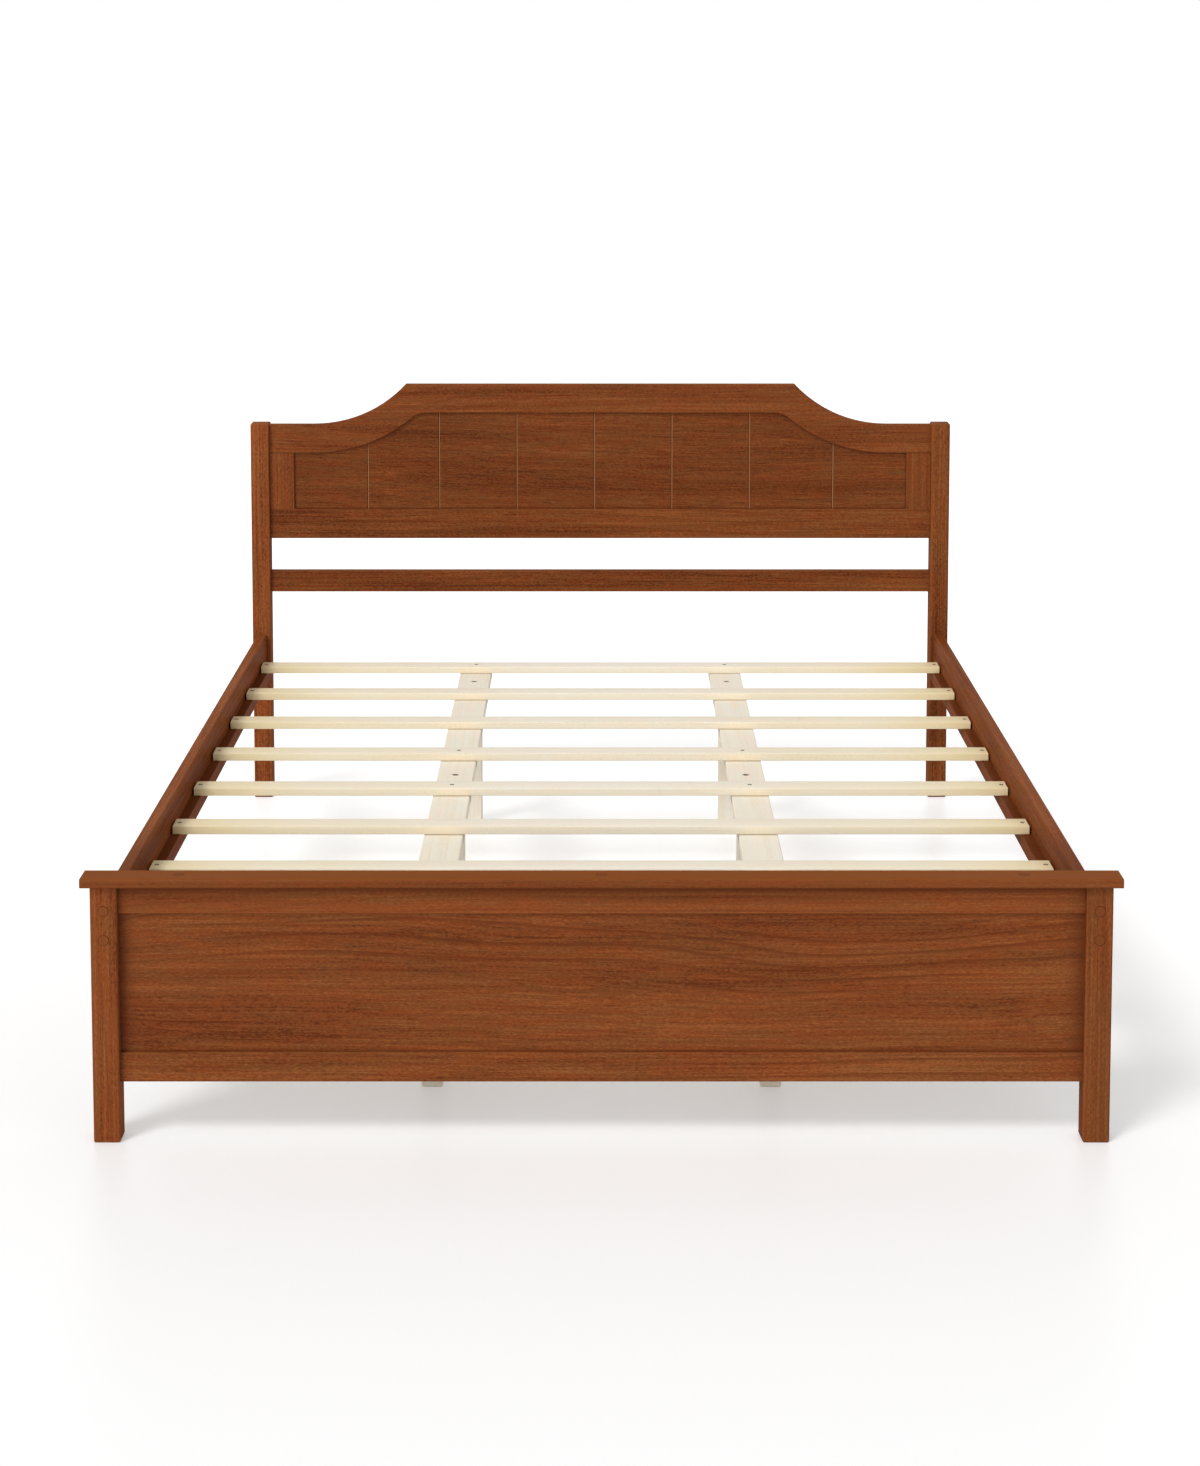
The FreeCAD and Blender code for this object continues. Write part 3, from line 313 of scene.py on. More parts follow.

# The grooves' flanks, from just under the face to the floor: painted light on the flank that faces left,
# painted shade on the flank that faces right
PAINTED_LIT_FLANK = (0.40, 0.205, 0.100)
PAINTED_SHADED_FLANK = (0.115, 0.032, 0.011)
panel_wood = panel_finish.node_tree
panel_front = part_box("head_panel")[0].y
panel_depth = coordinates(panel_wood)["Y"]
scored = calculate(panel_wood, "MULTIPLY",
                   spread(panel_wood, panel_depth, panel_front + 0.0002, panel_front + 0.001),
                   spread(panel_wood, panel_depth, panel_front + 0.003, panel_front + 0.0026))
facing = add(panel_wood, "ShaderNodeTexCoord").outputs["Normal"]
facing = spread(panel_wood, add(panel_wood, "ShaderNodeSeparateXYZ", {0: facing}).outputs["X"], -0.2, 0.2)
lay_over(panel_finish, scored, blend_colours(panel_wood, facing, PAINTED_LIT_FLANK, PAINTED_SHADED_FLANK))

# Lower headboard bar
# A narrow bar tenoned between the posts, with open gaps above and below it.
stained("head_lower_bar", "X", (0.6, 5.3, 2.4), shade=0.88, wander=0.05, pores=0.25, contrast=5.2)

# Foot posts
# Shorter posts of the same section, under the cap, with two bolt plugs each on the front.
stained("foot_post_left", "Z", (4.4, 3.3, 0.4), shade=1.08, wander=0.02, pores=0.2, contrast=4.1)
stained("foot_post_right", "Z", (6.2, 1.4, 2.1), shade=0.86, wander=0.02, pores=0.2, contrast=3.9)

# Footboard rails
# Two straight boards tenoned between the foot posts, grooved on their facing edges.
# Painted shade darkens them under the cap and beside the posts.
foot_top_finish = stained("foot_top_rail", "X", (1.2, 6.1, 3.7), shade=1.11, wander=0.03, pores=0.2,
                          contrast=3.2)
foot_low_finish = stained("foot_bottom_rail", "X", (8.3, 0.2, 1.1), shade=0.97, wander=0.05, pores=0.25,
                          contrast=4.8, year_lines=0.5)
under_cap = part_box("foot_top_rail")[1].z
post_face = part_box("foot_post_right")[0].x
# Painted shade under the cap, along the top rail's upper edge
colour_band(foot_top_finish, "Z", start=under_cap - 0.018, end=under_cap - 0.007, share=0.65)
# Painted shade beside the posts
for finish in (foot_top_finish, foot_low_finish):
    colour_band(finish, "X", start=post_face - 0.022, end=post_face, share=0.3)

# Footboard panel
# A wide veneered panel with long dense grain, loose in the grooves of rails and posts.
# Painted shade darkens it along the bottom rail and beside the posts.
foot_panel_finish = stained("foot_panel", "X", (3.9, 7.7, 0.3), shade=0.96, wander=0.10, pores=0.25,
                            contrast=4.2, year_lines=0.6)
foot_rail_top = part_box("foot_bottom_rail")[1].z
# Painted shade along the bottom rail, and beside the posts
colour_band(foot_panel_finish, "Z", start=foot_rail_top + 0.006, end=foot_rail_top, share=0.55)
colour_band(foot_panel_finish, "X", start=post_face - 0.034, end=post_face, share=0.6)

# Footboard cap
# A thin board with rounded long edges that overhangs posts and rail, screwed down from above.
# Its top face is painted a browner tone than its edges, a painted tone for how the light falls on a top
# face.
CAP_TOP_PAINTED_TONE = (0.262, 0.070, 0.006)
CAP_TOP_PAINTED_SHARE = 0.6
cap_finish = stained("foot_cap", "X", (9.1, 2.9, 4.6), shade=0.96, wander=0.02, pores=0.15, contrast=2.4,
                     year_lines=0.2)
cap_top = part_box("foot_cap")[1].z
cap_top_face = (cap_top - 0.0012, cap_top - 0.0004)
# The top face's painted tone, for how the light falls on it
colour_band(cap_finish, "Z", *cap_top_face, CAP_TOP_PAINTED_SHARE, CAP_TOP_PAINTED_TONE)

# Side rails
# Two straight boards on edge, bolted between head and foot posts, set in from the posts' outer faces.
# Painted shade darkens them a little at their foot ends.
for rail, shift, shade in (("side_rail_left", (2.8, 1.6, 5.2), 1.14),
                           ("side_rail_right", (5.7, 4.9, 0.8), 1.08)):
    rail_finish = stained(rail, "Y", shift, shade, wander=0.04, pores=0.25, contrast=4.4)
    # Painted shade towards the foot end
    colour_band(rail_finish, "Y", start=-0.50, end=-0.85, share=0.55)

# Rail bolts
# Zinc-plated bolts through the posts, hidden by the plugs in front of their heads.


def zinc_material(name, colour):
    """Dull zinc plating, with faint cloudy stains."""
    material = bpy.data.materials.new(name)
    material.use_nodes = True
    tree = material.node_tree
    principled = tree.nodes["Principled BSDF"]
    place = add(tree, "ShaderNodeTexCoord").outputs["Object"]
    cloud = add(tree, "ShaderNodeTexNoise", {"Vector": place, "Scale": 420.0, "Detail": 3.0})
    clouded = spread(tree, cloud.outputs["Fac"], 0.3, 0.7)
    stain_colour = tuple(part * 0.6 for part in colour)
    tree.links.new(blend_colours(tree, clouded, stain_colour, colour), principled.inputs["Base Color"])
    dull = add(tree, "ShaderNodeMapRange", {"Value": clouded, "To Min": 0.55, "To Max": 0.38})
    tree.links.new(dull.outputs[0], principled.inputs["Roughness"])
    principled.inputs["Metallic"].default_value = 1.0
    return material


zinc = zinc_material("zinc_plating", (0.42, 0.40, 0.36))
dress("rail_bolts", zinc)

# Bolt plugs
# Turned buttons of the same stained wood, pressed into the bolt holes and left just proud.
# The stain gathers in the seam round each, and those on the right post are darker, as the post is.
BODY = "root"
SMOOTH_BELOW = math.radians(35)
WELD = 0.00001


def shape_tree(name, *sizes):
    """An empty Geometry Nodes tree, grown on points, with named lengths and a finish."""
    tree = bpy.data.node_groups.new(name, "GeometryNodeTree")
    tree.interface.new_socket("Points", in_out="INPUT", socket_type="NodeSocketGeometry")
    for size in sizes:
        tree.interface.new_socket(size, in_out="INPUT", socket_type="NodeSocketFloat")
    tree.interface.new_socket("Finish", in_out="INPUT", socket_type="NodeSocketMaterial")
    tree.interface.new_socket("Geometry", in_out="OUTPUT", socket_type="NodeSocketGeometry")
    return tree, tree.nodes.new("NodeGroupInput").outputs


def raised(tree, shape, height):
    """A shape moved up to a height."""
    lift = add(tree, "ShaderNodeCombineXYZ", {"Z": height}).outputs[0]
    return add(tree, "GeometryNodeTransform", {"Geometry": shape, "Translation": lift}).outputs[0]


def turned(tree, sides, rings):
    """A closed turned solid about Z, from its rings upwards: radius and height of each."""
    skins = []
    for (low_radius, low), (high_radius, high) in zip(rings, rings[1:]):
        skin = add(tree, "GeometryNodeMeshCone",
                   {"Vertices": sides, "Radius Bottom": low_radius, "Radius Top": high_radius,
                    "Depth": calculate(tree, "SUBTRACT", high, low)}, fill_type="NONE")
        skins.append((skin.outputs[0], low))
    under, over = (add(tree, "GeometryNodeMeshCircle", {"Vertices": sides, "Radius": radius},
                       fill_type="NGON").outputs[0] for radius in (rings[0][0], rings[-1][0]))
    skins.append((add(tree, "GeometryNodeFlipFaces", {0: under}).outputs[0], rings[0][1]))
    skins.append((over, rings[-1][1]))
    whole = add(tree, "GeometryNodeJoinGeometry")
    for skin, height in skins:
        tree.links.new(raised(tree, skin, height), whole.inputs[0])
    welded = add(tree, "GeometryNodeMergeByDistance", {"Geometry": whole.outputs[0], "Distance": WELD})
    return welded.outputs[0]


def side_of(tree, axis):
    """Which side of the bed's middle a point is on: -1 or 1."""
    position = add(tree, "GeometryNodeInputPosition").outputs[0]
    return calculate(tree, "SIGN", add(tree, "ShaderNodeSeparateXYZ", {0: position}).outputs[axis])


def set_out(tree, points, piece, axis="X", turn=0.0):
    """A copy of a piece on each point, turned about an axis."""
    rotation = add(tree, "ShaderNodeCombineXYZ", {axis: turn})
    return add(tree, "GeometryNodeInstanceOnPoints",
               {"Points": points, "Instance": piece, "Rotation": rotation.outputs[0]}).outputs[0]


def finish_tree(tree, copies, finish):
    """Close a tree: real faces, smooth over shallow edges, one finish."""
    real = add(tree, "GeometryNodeRealizeInstances", {"Geometry": copies}).outputs[0]
    angle = add(tree, "GeometryNodeInputMeshEdgeAngle").outputs["Unsigned Angle"]
    shallow = add(tree, "FunctionNodeCompare", {0: angle, 1: SMOOTH_BELOW}, operation="LESS_THAN")
    smooth = add(tree, "GeometryNodeSetShadeSmooth", {0: real}, domain="FACE")
    smooth = add(tree, "GeometryNodeSetShadeSmooth",
                 {0: smooth.outputs[0], "Shade Smooth": shallow.outputs[0]}, domain="EDGE")
    coated = add(tree, "GeometryNodeSetMaterial", {"Geometry": smooth.outputs[0], "Material": finish})
    tree.links.new(coated.outputs[0], tree.nodes.new("NodeGroupOutput").inputs[0])


def grow(name, tree, points, finish, slot, nodes, **sizes):
    """Run a tree once on its points, keep the plain mesh, and let it stand for CAD nodes."""
    seed_mesh = bpy.data.meshes.new(f"{name}_points")
    seed_mesh.from_pydata([tuple(point) for point in points], [], [])
    seed = bpy.data.objects.new(f"{name}_seed", seed_mesh)
    bpy.context.scene.collection.objects.link(seed)
    modifier = seed.modifiers.new("Shape", "NODES")
    modifier.node_group = tree
    settings = {size.replace("_", " ").title(): value for size, value in sizes.items()}
    settings["Finish"] = finish
    for socket in tree.interface.items_tree:
        if socket.in_out == "INPUT" and socket.name in settings:
            modifier[socket.identifier] = settings[socket.name]
    seed.update_tag()
    bpy.context.view_layer.update()
    evaluated = seed.evaluated_get(bpy.context.evaluated_depsgraph_get())
    mesh = bpy.data.meshes.new_from_object(evaluated)
    bpy.data.objects.remove(seed)
    piece = bpy.data.objects.new(name, mesh)
    bpy.context.scene.collection.objects.link(piece)
    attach(piece, BODY)
    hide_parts(*nodes)
    return piece


def seamed(material, across, up, start, end, share):
    """Stain gathered in the seam round each plug, from the two distances to the plug's axis."""
    tree = material.node_tree
    squares = [calculate(tree, "MULTIPLY", part, part) for part in (across, up)]
    from_axis = calculate(tree, "SQRT", calculate(tree, "ADD", *squares))
    lay_over(material, calculate(tree, "MULTIPLY", spread(tree, from_axis, start, end), share), DARK_TONE)


PLUG_SIDES = 40
plug_tree, plug_in = shape_tree("Bolt plugs", "Radius", "Depth", "Proud", "Rounding")
plug_low = calculate(plug_tree, "SUBTRACT", plug_in["Proud"], plug_in["Depth"])
plug_brow = calculate(plug_tree, "SUBTRACT", plug_in["Proud"], plug_in["Rounding"])
plug_face = calculate(plug_tree, "SUBTRACT", plug_in["Radius"], plug_in["Rounding"])
plug_one = turned(plug_tree, PLUG_SIDES, [(plug_in["Radius"], plug_low), (plug_in["Radius"], plug_brow),
                                          (plug_face, plug_in["Proud"])])
plug_turn = calculate(plug_tree, "MULTIPLY", side_of(plug_tree, "Y"), -math.pi / 2)
plug_set = set_out(plug_tree, plug_in["Points"], plug_one, "X", plug_turn)
finish_tree(plug_tree, plug_set, plug_in["Finish"])

PLUG_RADIUS = 0.0085
PLUG_PROUD = 0.001
plug_first, plug_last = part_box("bolt_plugs")
rail_first, rail_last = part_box("side_rail_right")
bolt_x = (rail_first.x + rail_last.x) / 2
bolt_heights = (plug_first.z + PLUG_RADIUS, plug_last.z - PLUG_RADIUS)
plug_ends = (plug_first.y + PLUG_PROUD, plug_last.y - PLUG_PROUD)
plug_points = [(x, y, z) for x in (-bolt_x, bolt_x) for y in plug_ends for z in bolt_heights]

LEFT_SHADE = (1.04, 1.06, 1.1)
RIGHT_SHADE = (0.86, 0.9, 0.95)
plug_wood = wood_material("stain_bolt_plugs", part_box("bolt_plugs"), "Z", (0.8, 3.9, 2.2), STAIN,
                          wander=0.02, pores=0.2, contrast=1.6, worn=0.0, **SATIN)
plug_shader = plug_wood.node_tree
plug_place = coordinates(plug_shader)
plug_side = spread(plug_shader, plug_place["X"], -0.1, 0.1)
lay_over(plug_wood, 1.0, blend_colours(plug_shader, plug_side, LEFT_SHADE, RIGHT_SHADE), "MULTIPLY")
to_side = calculate(plug_shader, "SUBTRACT", calculate(plug_shader, "ABSOLUTE", plug_place["X"]), bolt_x)
to_centre = calculate(plug_shader, "SUBTRACT", plug_place["Z"], sum(bolt_heights) / 2)
to_height = calculate(plug_shader, "SUBTRACT", calculate(plug_shader, "ABSOLUTE", to_centre),
                      (bolt_heights[1] - bolt_heights[0]) / 2)
seamed(plug_wood, to_side, to_height, start=0.0070, end=0.0084, share=0.95)
grow("bolt_plugs_turned", plug_tree, plug_points, plug_wood, "stained_wood", ["bolt_plugs"],
     radius=PLUG_RADIUS, depth=0.007, proud=PLUG_PROUD, rounding=0.0006)

# Cap plugs
# Three buttons of the same wood, sanded flush with the cap's top over the screws that hold it.
cap_plug_tree, cap_plug_in = shape_tree("Cap plugs", "Radius", "Depth", "Rounding")
cap_plug_low = calculate(cap_plug_tree, "MULTIPLY", cap_plug_in["Depth"], -1.0)
cap_plug_brow = calculate(cap_plug_tree, "MULTIPLY", cap_plug_in["Rounding"], -1.0)
cap_plug_face = calculate(cap_plug_tree, "SUBTRACT", cap_plug_in["Radius"], cap_plug_in["Rounding"])
cap_plug_one = turned(cap_plug_tree, PLUG_SIDES,
                      [(cap_plug_in["Radius"], cap_plug_low), (cap_plug_in["Radius"], cap_plug_brow),
                       (cap_plug_face, 0.0)])
cap_plug_set = set_out(cap_plug_tree, cap_plug_in["Points"], cap_plug_one)
finish_tree(cap_plug_tree, cap_plug_set, cap_plug_in["Finish"])

# The solid plugs have 16 flats, so their box is a little narrower than a round plug's
CAP_PLUG_RADIUS = 0.009
CAP_PLUG_FLATS = 16
cap_plug_first, cap_plug_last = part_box("cap_plugs")
cap_plug_half = CAP_PLUG_RADIUS * math.cos(math.pi / CAP_PLUG_FLATS)
cap_plug_x = (cap_plug_last.x - cap_plug_first.x) / 2 - cap_plug_half
cap_plug_y = ((cap_plug_first + cap_plug_last) / 2).y
cap_spots = [(x, cap_plug_y, cap_plug_last.z) for x in (-cap_plug_x, 0.0, cap_plug_x)]

CAP_PLUG_TOP_PAINTED_TONE = (0.205, 0.052, 0.004)
cap_plug_wood = wood_material("stain_cap_plugs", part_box("cap_plugs"), "X", (2.4, 1.7, 0.5), shaded(0.86),
                              wander=0.02, pores=0.3, contrast=3.0, worn=0.0, **SATIN)
# The plugs' tops take the same painted tone as the cap's top
colour_band(cap_plug_wood, "Z", *cap_top_face, CAP_TOP_PAINTED_SHARE, CAP_PLUG_TOP_PAINTED_TONE)
cap_plug_shader = cap_plug_wood.node_tree
cap_plug_place = coordinates(cap_plug_shader)
along_cap = calculate(cap_plug_shader, "ABSOLUTE", cap_plug_place["X"])
along_cap = calculate(cap_plug_shader, "PINGPONG", along_cap, cap_plug_x / 2)
across_cap = calculate(cap_plug_shader, "SUBTRACT", cap_plug_place["Y"], cap_plug_y)
seamed(cap_plug_wood, along_cap, across_cap, start=0.0066, end=0.009, share=0.8)
grow("cap_plugs_turned", cap_plug_tree, cap_spots, cap_plug_wood, "stained_wood", ["cap_plugs"],
     radius=CAP_PLUG_RADIUS, depth=0.006, rounding=0.0003)

# Barrel nuts
# Short steel cylinders across the rails' ends, let in from the inner face, with a slot to line them up.


def cut(tree, solid, *cutters):
    """A solid less its cutters."""
    node = add(tree, "GeometryNodeMeshBoolean", {"Mesh 1": solid}, operation="DIFFERENCE")
    for cutter in cutters:
        tree.links.new(cutter, node.inputs["Mesh 2"])
    return node.outputs["Mesh"]


def slot_cutter(tree, length, width, depth, height):
    """A block that sinks a slot into a face at a height."""
    size = add(tree, "ShaderNodeCombineXYZ",
               {"X": length, "Y": width, "Z": calculate(tree, "MULTIPLY", depth, 2.0)})
    bar = add(tree, "GeometryNodeMeshCube", {"Size": size.outputs[0]})
    return raised(tree, bar.outputs[0], height)


NUT_SIDES = 32
nut_tree, nut_in = shape_tree("Barrel nuts", "Radius", "Length", "Rounding", "Slot Width", "Slot Depth")
nut_face = calculate(nut_tree, "SUBTRACT", nut_in["Radius"], nut_in["Rounding"])
nut_brow = calculate(nut_tree, "SUBTRACT", nut_in["Length"], nut_in["Rounding"])
nut_one = turned(nut_tree, NUT_SIDES, [(nut_face, 0.0), (nut_in["Radius"], nut_in["Rounding"]),
                                       (nut_in["Radius"], nut_brow), (nut_face, nut_in["Length"])])
slot_length = calculate(nut_tree, "MULTIPLY", nut_in["Radius"], 3.0)
nut_slot = slot_cutter(nut_tree, slot_length, nut_in["Slot Width"], nut_in["Slot Depth"], nut_in["Length"])
nut_turn = calculate(nut_tree, "MULTIPLY", side_of(nut_tree, "X"), -math.pi / 2)
nut_set = set_out(nut_tree, nut_in["Points"], cut(nut_tree, nut_one, nut_slot), "Y", nut_turn)
finish_tree(nut_tree, nut_set, nut_in["Finish"])

nut_first, nut_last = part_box("barrel_nuts")
nut_radius = bolt_heights[0] - nut_first.z
nut_ends = (nut_first.y + nut_radius, nut_last.y - nut_radius)
nut_points = [(x, y, z) for x in (nut_first.x, nut_last.x) for y in nut_ends for z in bolt_heights]
grow("barrel_nuts_turned", nut_tree, nut_points, zinc, "zinc_steel", ["barrel_nuts"],
     radius=nut_radius, length=0.016, rounding=0.0005, slot_width=0.0014, slot_depth=0.002)

# Ledgers
# Square strips screwed to the side rails' inner faces, under the ends of the slats.
# Painted shade darkens their top edges, under the slats.
for ledger, shift in (("ledger_left", (3.3, 0.9, 1.5)), ("ledger_right", (7.9, 2.2, 4.1))):
    ledger_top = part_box(ledger)[1].z
    ledger_finish = stained(ledger, "Y", shift, shade=1.0, wander=0.03, pores=0.25, contrast=3.0)
    # Painted shade along the top edge
    colour_band(ledger_finish, "Z", start=ledger_top - 0.002, end=ledger_top - 0.0005, share=0.7)

# Ledger screws
# Countersunk wood screws with a cross recess, four through each ledger into its rail.
# Each sits midway between two slats.
SCREW_SIDES = 24
TIP_SHARE = 0.2
TAPER_SHARE = 0.8
RECESS_SHARE = 1.2
screw_tree, screw_in = shape_tree("Wood screws", "Head Radius", "Shank Radius", "Head Depth", "Length",
                                  "Proud", "Recess Width", "Recess Depth", "Turn")
screw_tip = calculate(screw_tree, "MULTIPLY", screw_in["Shank Radius"], TIP_SHARE)
screw_end = calculate(screw_tree, "MULTIPLY", screw_in["Length"], -1.0)
screw_taper = calculate(screw_tree, "MULTIPLY", screw_in["Length"], -TAPER_SHARE)
screw_neck = calculate(screw_tree, "MULTIPLY", screw_in["Head Depth"], -1.0)
screw_one = turned(screw_tree, SCREW_SIDES,
                   [(screw_tip, screw_end), (screw_in["Shank Radius"], screw_taper),
                    (screw_in["Shank Radius"], screw_neck), (screw_in["Head Radius"], 0.0),
                    (screw_in["Head Radius"], screw_in["Proud"])])
recess_length = calculate(screw_tree, "MULTIPLY", screw_in["Head Radius"], RECESS_SHARE)
recess_bars = [slot_cutter(screw_tree, length, width, screw_in["Recess Depth"], screw_in["Proud"])
               for length, width in ((recess_length, screw_in["Recess Width"]),
                                     (screw_in["Recess Width"], recess_length))]
screw_one = cut(screw_tree, screw_one, *recess_bars)
screw_turn = calculate(screw_tree, "MULTIPLY", side_of(screw_tree, "X"), screw_in["Turn"])
screw_set = set_out(screw_tree, screw_in["Points"], screw_one, "Y", screw_turn)
finish_tree(screw_tree, screw_set, screw_in["Finish"])

SLAT_COUNT = 8
LEDGER_BAYS = (0, 2, 4, 6)
SCREW = {"shank_radius": 0.002, "head_depth": 0.0022, "length": 0.030, "proud": 0.0002,
         "recess_width": 0.0011, "recess_depth": 0.0012}
dark_zinc = zinc_material("dark_zinc_plating", (0.11, 0.085, 0.055))
slat_low, slat_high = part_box("slat_1")
last_slat_low, last_slat_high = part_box(f"slat_{SLAT_COUNT}")
slat_middle = (slat_low + slat_high) / 2
slat_pitch = (last_slat_low.y - slat_low.y) / (SLAT_COUNT - 1)
ledger_low, ledger_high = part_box("ledger_right")
ledger_points = [(x, slat_middle.y + (bay + 0.5) * slat_pitch, (ledger_low.z + ledger_high.z) / 2)
                 for x in (-ledger_low.x, ledger_low.x) for bay in LEDGER_BAYS]
grow("ledger_screws_turned", screw_tree, ledger_points, dark_zinc, "zinc_steel", ["ledger_screws"],
     head_radius=0.0038, turn=-math.pi / 2, **SCREW)
dress("cap_screws", dark_zinc)

# Centre beams
# Two flat pine boards under the slats, each bolted down on three legs.
# Where the slats cross them, a painted contact shadow darkens the beams along the slats' edges.
PINE = ((0.96, 0.91, 0.805), (0.935, 0.855, 0.715), (0.86, 0.755, 0.56))
RAW_WEAR = 0.2
UNVARNISHED = {"sheen": 0.1, "coat": 0.0}
SLAT_SHADOW = (0.42, 0.33, 0.22)
SLAT_SHADOW_WIDTH = 0.012
SLAT_SHADOW_SHARE = 0.7
slat_half = (slat_high.y - slat_low.y) / 2
for beam, shift in (("centre_beam_left", (1.9, 0.3, 0.7)), ("centre_beam_right", (4.6, 1.8, 0.1))):
    beam_wood = wood_material(f"pine_{beam}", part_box(beam), "Y", shift, PINE,
                              wander=0.04, pores=0.15, contrast=3.0, worn=RAW_WEAR, **UNVARNISHED)
    beam_tree = beam_wood.node_tree
    # Painted contact shadow on the beam beside each slat
    to_slat = calculate(beam_tree, "SUBTRACT", coordinates(beam_tree)["Y"], slat_middle.y)
    to_slat = calculate(beam_tree, "PINGPONG", to_slat, slat_pitch / 2)
    slat_shadowed = spread(beam_tree, to_slat, slat_half + SLAT_SHADOW_WIDTH, slat_half)
    lay_over(beam_wood, calculate(beam_tree, "MULTIPLY", slat_shadowed, SLAT_SHADOW_SHARE), SLAT_SHADOW)
    dress(beam, beam_wood)

# Centre legs
# Square pine legs with threaded inserts in their tops.
legs = [node for node in sorted(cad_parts) if node.startswith("centre_leg")]
for number, leg in enumerate(legs):
    leg_wood = wood_material(f"pine_{leg}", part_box(leg), "Z", (0.7 * number, 0.4, 0.9 * number), PINE,
                             wander=0.02, pores=0.15, contrast=3.0, worn=RAW_WEAR, **UNVARNISHED)
    dress(leg, leg_wood)
dress("leg_inserts", zinc)

# Leg bolts
# Cap-head bolts with a hexagon socket, let into the beams over each leg.
BOLT_SIDES = 32
SOCKET_SIDES = 6
SHOULDER = 0.0002
SOCKET_CLEARANCE = 0.001
bolt_tree, bolt_in = shape_tree("Leg bolts", "Head Radius", "Shank Radius", "Head Height", "Length",
                                "Rounding", "Socket Radius", "Socket Depth")
bolt_end = calculate(bolt_tree, "MULTIPLY", bolt_in["Length"], -1.0)
bolt_brow = calculate(bolt_tree, "SUBTRACT", bolt_in["Head Height"], bolt_in["Rounding"])
bolt_face = calculate(bolt_tree, "SUBTRACT", bolt_in["Head Radius"], bolt_in["Rounding"])
bolt_one = turned(bolt_tree, BOLT_SIDES,
                  [(bolt_in["Shank Radius"], bolt_end), (bolt_in["Shank Radius"], 0.0),
                   (bolt_in["Head Radius"], SHOULDER), (bolt_in["Head Radius"], bolt_brow),
                   (bolt_face, bolt_in["Head Height"])])
socket_floor = calculate(bolt_tree, "SUBTRACT", bolt_in["Head Height"], bolt_in["Socket Depth"])
socket_top = calculate(bolt_tree, "ADD", bolt_in["Head Height"], SOCKET_CLEARANCE)
bolt_socket = turned(bolt_tree, SOCKET_SIDES, [(bolt_in["Socket Radius"], socket_floor),
                                               (bolt_in["Socket Radius"], socket_top)])
bolt_set = set_out(bolt_tree, bolt_in["Points"], cut(bolt_tree, bolt_one, bolt_socket))
finish_tree(bolt_tree, bolt_set, bolt_in["Finish"])

LEG_BOLT_HEAD = 0.005
leg_bolt_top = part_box("leg_bolts")[1].z
leg_centres = [sum(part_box(leg), Vector()) / 2 for leg in legs]
leg_bolt_points = [(centre.x, centre.y, leg_bolt_top - LEG_BOLT_HEAD) for centre in leg_centres]
grow("leg_bolts_turned", bolt_tree, leg_bolt_points, dark_zinc, "zinc_steel", ["leg_bolts"],
     head_radius=0.007, shank_radius=0.004, head_height=LEG_BOLT_HEAD,
     length=leg_bolt_top - LEG_BOLT_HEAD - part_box("leg_bolts")[0].z,
     rounding=0.0006, socket_radius=0.0034, socket_depth=0.003)

# Slats
# Eight bare pine slats, planed with rounded long edges, laid across the ledgers and the centre beams.
# Painted warm reflection from the rails and painted shade turn them honey yellow towards their ends, and
# painted shade turns them a little yellower down their edges.
ROUNDING_STEPS = 4
slat_tree, slat_in = shape_tree("Slat row", "Length", "Width", "Thickness", "Rounding")
slat_ends = [calculate(slat_tree, "MULTIPLY", slat_in["Length"], half) for half in (-0.5, 0.5)]
slat_start, slat_stop = (add(slat_tree, "ShaderNodeCombineXYZ", {"X": end}).outputs[0] for end in slat_ends)
slat_axis = add(slat_tree, "GeometryNodeCurvePrimitiveLine", {"Start": slat_start, "End": slat_stop})
section = add(slat_tree, "GeometryNodeCurvePrimitiveQuadrilateral",
              {"Width": slat_in["Width"], "Height": slat_in["Thickness"]})
section = add(slat_tree, "GeometryNodeFilletCurve",
              {"Curve": section.outputs[0], "Radius": slat_in["Rounding"], "Count": ROUNDING_STEPS},
              mode="POLY")
slat_one = add(slat_tree, "GeometryNodeCurveToMesh",
               {"Curve": slat_axis.outputs[0], "Profile Curve": section.outputs[0], "Fill Caps": True})
finish_tree(slat_tree, set_out(slat_tree, slat_in["Points"], slat_one.outputs[0]), slat_in["Finish"])

PAINTED_HONEY = (0.84, 0.68, 0.34)
slat_points = [slat_middle + Vector((0.0, number * slat_pitch, 0.0)) for number in range(SLAT_COUNT)]
slat_wood = wood_material("pine_slats", (slat_low, last_slat_high), "X", (0.4, 0.2, 0.6), PINE,
                          wander=0.03, pores=0.12, contrast=3.0, worn=0.0, **UNVARNISHED)
# Painted warm reflection and shade towards the slats' ends
colour_band(slat_wood, "X", start=0.10, end=0.50, share=0.22, colour=PAINTED_HONEY)
colour_band(slat_wood, "X", start=0.50, end=slat_high.x, share=0.62, colour=PAINTED_HONEY)
# Painted shade down the slats' edges
colour_band(slat_wood, "Z", start=slat_high.z - 0.001, end=slat_high.z - 0.005, share=0.14, colour=PAINTED_HONEY)
grow("slats_planed", slat_tree, slat_points, slat_wood, "pale_wood",
     [f"slat_{number}" for number in range(1, SLAT_COUNT + 1)],
     length=slat_high.x - slat_low.x, width=slat_high.y - slat_low.y,
     thickness=slat_high.z - slat_low.z, rounding=0.0015)

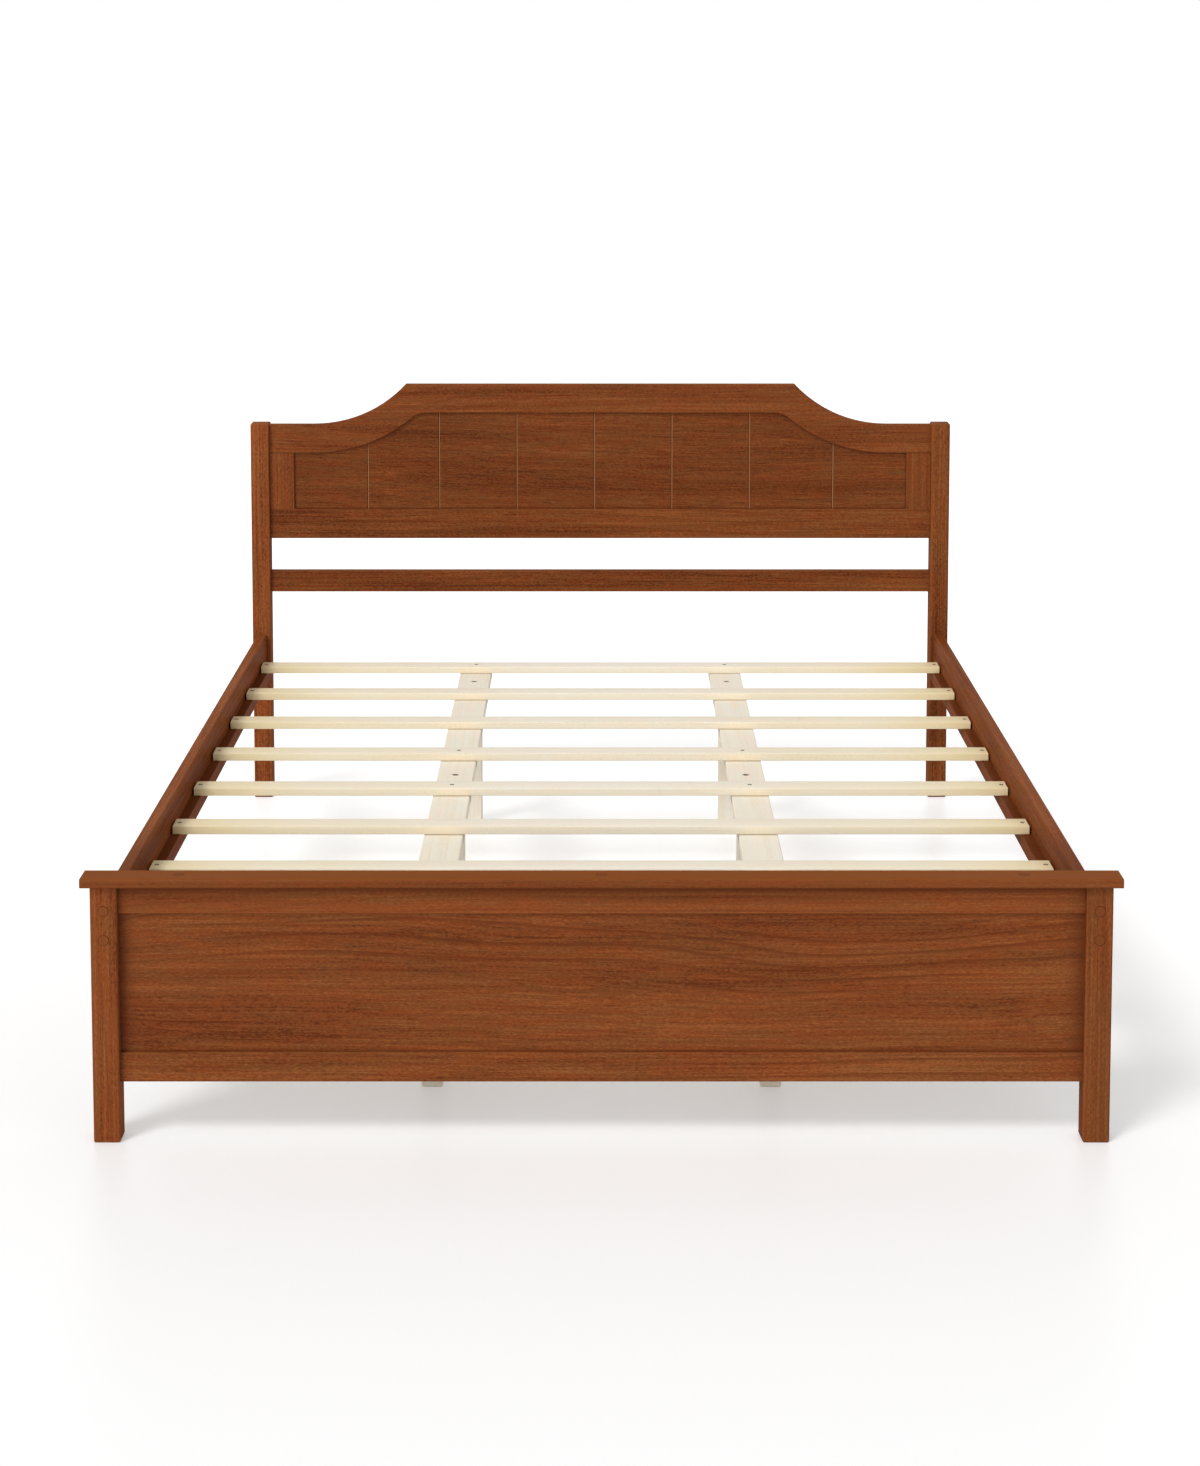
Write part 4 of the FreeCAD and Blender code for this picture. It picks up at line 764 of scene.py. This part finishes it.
# Slat screws
# The same countersunk screws, at both ends of each slat, and over the beams on four of them.
SLAT_SCREW_INSET = 0.009
BEAM_SLATS = (0, 3, 4, 7)
end_x = slat_high.x - SLAT_SCREW_INSET
beam_x = leg_centres[-1].x
screw_points = [Vector((x, point.y, slat_high.z)) for point in slat_points for x in (-end_x, end_x)]
screw_points += [Vector((x, slat_points[number].y, slat_high.z))
                 for number in BEAM_SLATS for x in (-beam_x, beam_x)]
grow("slat_screws_turned", screw_tree, screw_points, dark_zinc, "zinc_steel", ["slat_screws"],
     head_radius=0.004, turn=0.0, **SCREW)

# Studio
# A white floor with a faint gloss, a soft key light from the left in front, and an even white room.
# To the camera the floor glows a little, more towards the back, so that it runs into the room; towards the
# back this painted light washes out the bed's shadows.
FLOOR_HALF = 40.0
floor_mesh = bpy.data.meshes.new("floor")
floor_mesh.from_pydata([(-FLOOR_HALF, -FLOOR_HALF, 0.0), (FLOOR_HALF, -FLOOR_HALF, 0.0),
                        (FLOOR_HALF, FLOOR_HALF, 0.0), (-FLOOR_HALF, FLOOR_HALF, 0.0)], [], [(0, 1, 2, 3)])
floor = bpy.data.objects.new("floor", floor_mesh)
bpy.context.scene.collection.objects.link(floor)
paper = bpy.data.materials.new("white_floor")
paper.use_nodes = True
paper_tree = paper.node_tree
paper_shader = paper_tree.nodes["Principled BSDF"]
for socket, value in (("Base Color", (0.84, 0.84, 0.84, 1.0)), ("Roughness", 0.36),
                      ("Specular IOR Level", 0.22), ("Emission Color", (1.0, 1.0, 1.0, 1.0))):
    paper_shader.inputs[socket].default_value = value
seen = add(paper_tree, "ShaderNodeLightPath").outputs["Is Camera Ray"]
# Painted light: the floor's glow to the camera grows towards the back
painted_floor_light = add(paper_tree, "ShaderNodeMapRange",
             {"Value": coordinates(paper_tree)["Y"], "From Min": -0.5, "From Max": 1.6,
              "To Min": 0.225, "To Max": 0.40}).outputs[0]
glow = calculate(paper_tree, "MULTIPLY", seen, painted_floor_light)
paper_tree.links.new(glow, paper_shader.inputs["Emission Strength"])
floor_mesh.materials.append(paper)

ROOM_LIGHT = 0.56
room = bpy.data.worlds.new("white_room")
bpy.context.scene.world = room
room.use_nodes = True
room_tree = room.node_tree
path = add(room_tree, "ShaderNodeLightPath").outputs
direct = calculate(room_tree, "MAXIMUM", path["Is Camera Ray"], path["Is Glossy Ray"])
direct = calculate(room_tree, "MAXIMUM", direct, path["Is Transmission Ray"])
level = add(room_tree, "ShaderNodeMapRange", {"Value": direct, "To Min": ROOM_LIGHT, "To Max": 1.0})
room_shader = room_tree.nodes["Background"]
room_shader.inputs["Color"].default_value = (1.0, 1.0, 1.0, 1.0)
room_tree.links.new(level.outputs[0], room_shader.inputs["Strength"])

LAMP_DISTANCE = 6.0


def sun(name, source, strength, softness):
    """A lamp at no distance: where its light comes from, its strength, and its width in degrees."""
    lamp = bpy.data.lights.new(name, "SUN")
    lamp.energy = strength
    lamp.angle = math.radians(softness)
    holder = bpy.data.objects.new(name, lamp)
    holder.location = source * LAMP_DISTANCE
    holder.rotation_euler = source.to_track_quat("Z", "Y").to_euler()
    bpy.context.scene.collection.objects.link(holder)


sun("key", Vector((-0.430, -0.522, 0.736)), strength=1.3, softness=18.0)
sun("front_fill", Vector((-0.32, -0.90, 0.30)), strength=0.66, softness=40.0)

# Camera
# At the photograph's place in front of the foot end, looking a little down.
# The rest of the drop is lens shift, which keeps the posts upright.
DOWN_TILT = 5.622
lens = bpy.data.cameras.new("camera")
lens.lens = 68.752
lens.sensor_width = 36.0
lens.shift_x = 0.00182
lens.shift_y = -0.27
lens.clip_end = 200.0
camera = bpy.data.objects.new("camera", lens)
camera.location = (-0.0067, -5.3516, 1.7041)
camera.rotation_euler = (math.radians(90.0 - DOWN_TILT), 0.0, 0.0)
bpy.context.scene.collection.objects.link(camera)
bpy.context.scene.camera = camera
bpy.context.scene.view_settings.view_transform = "Standard"
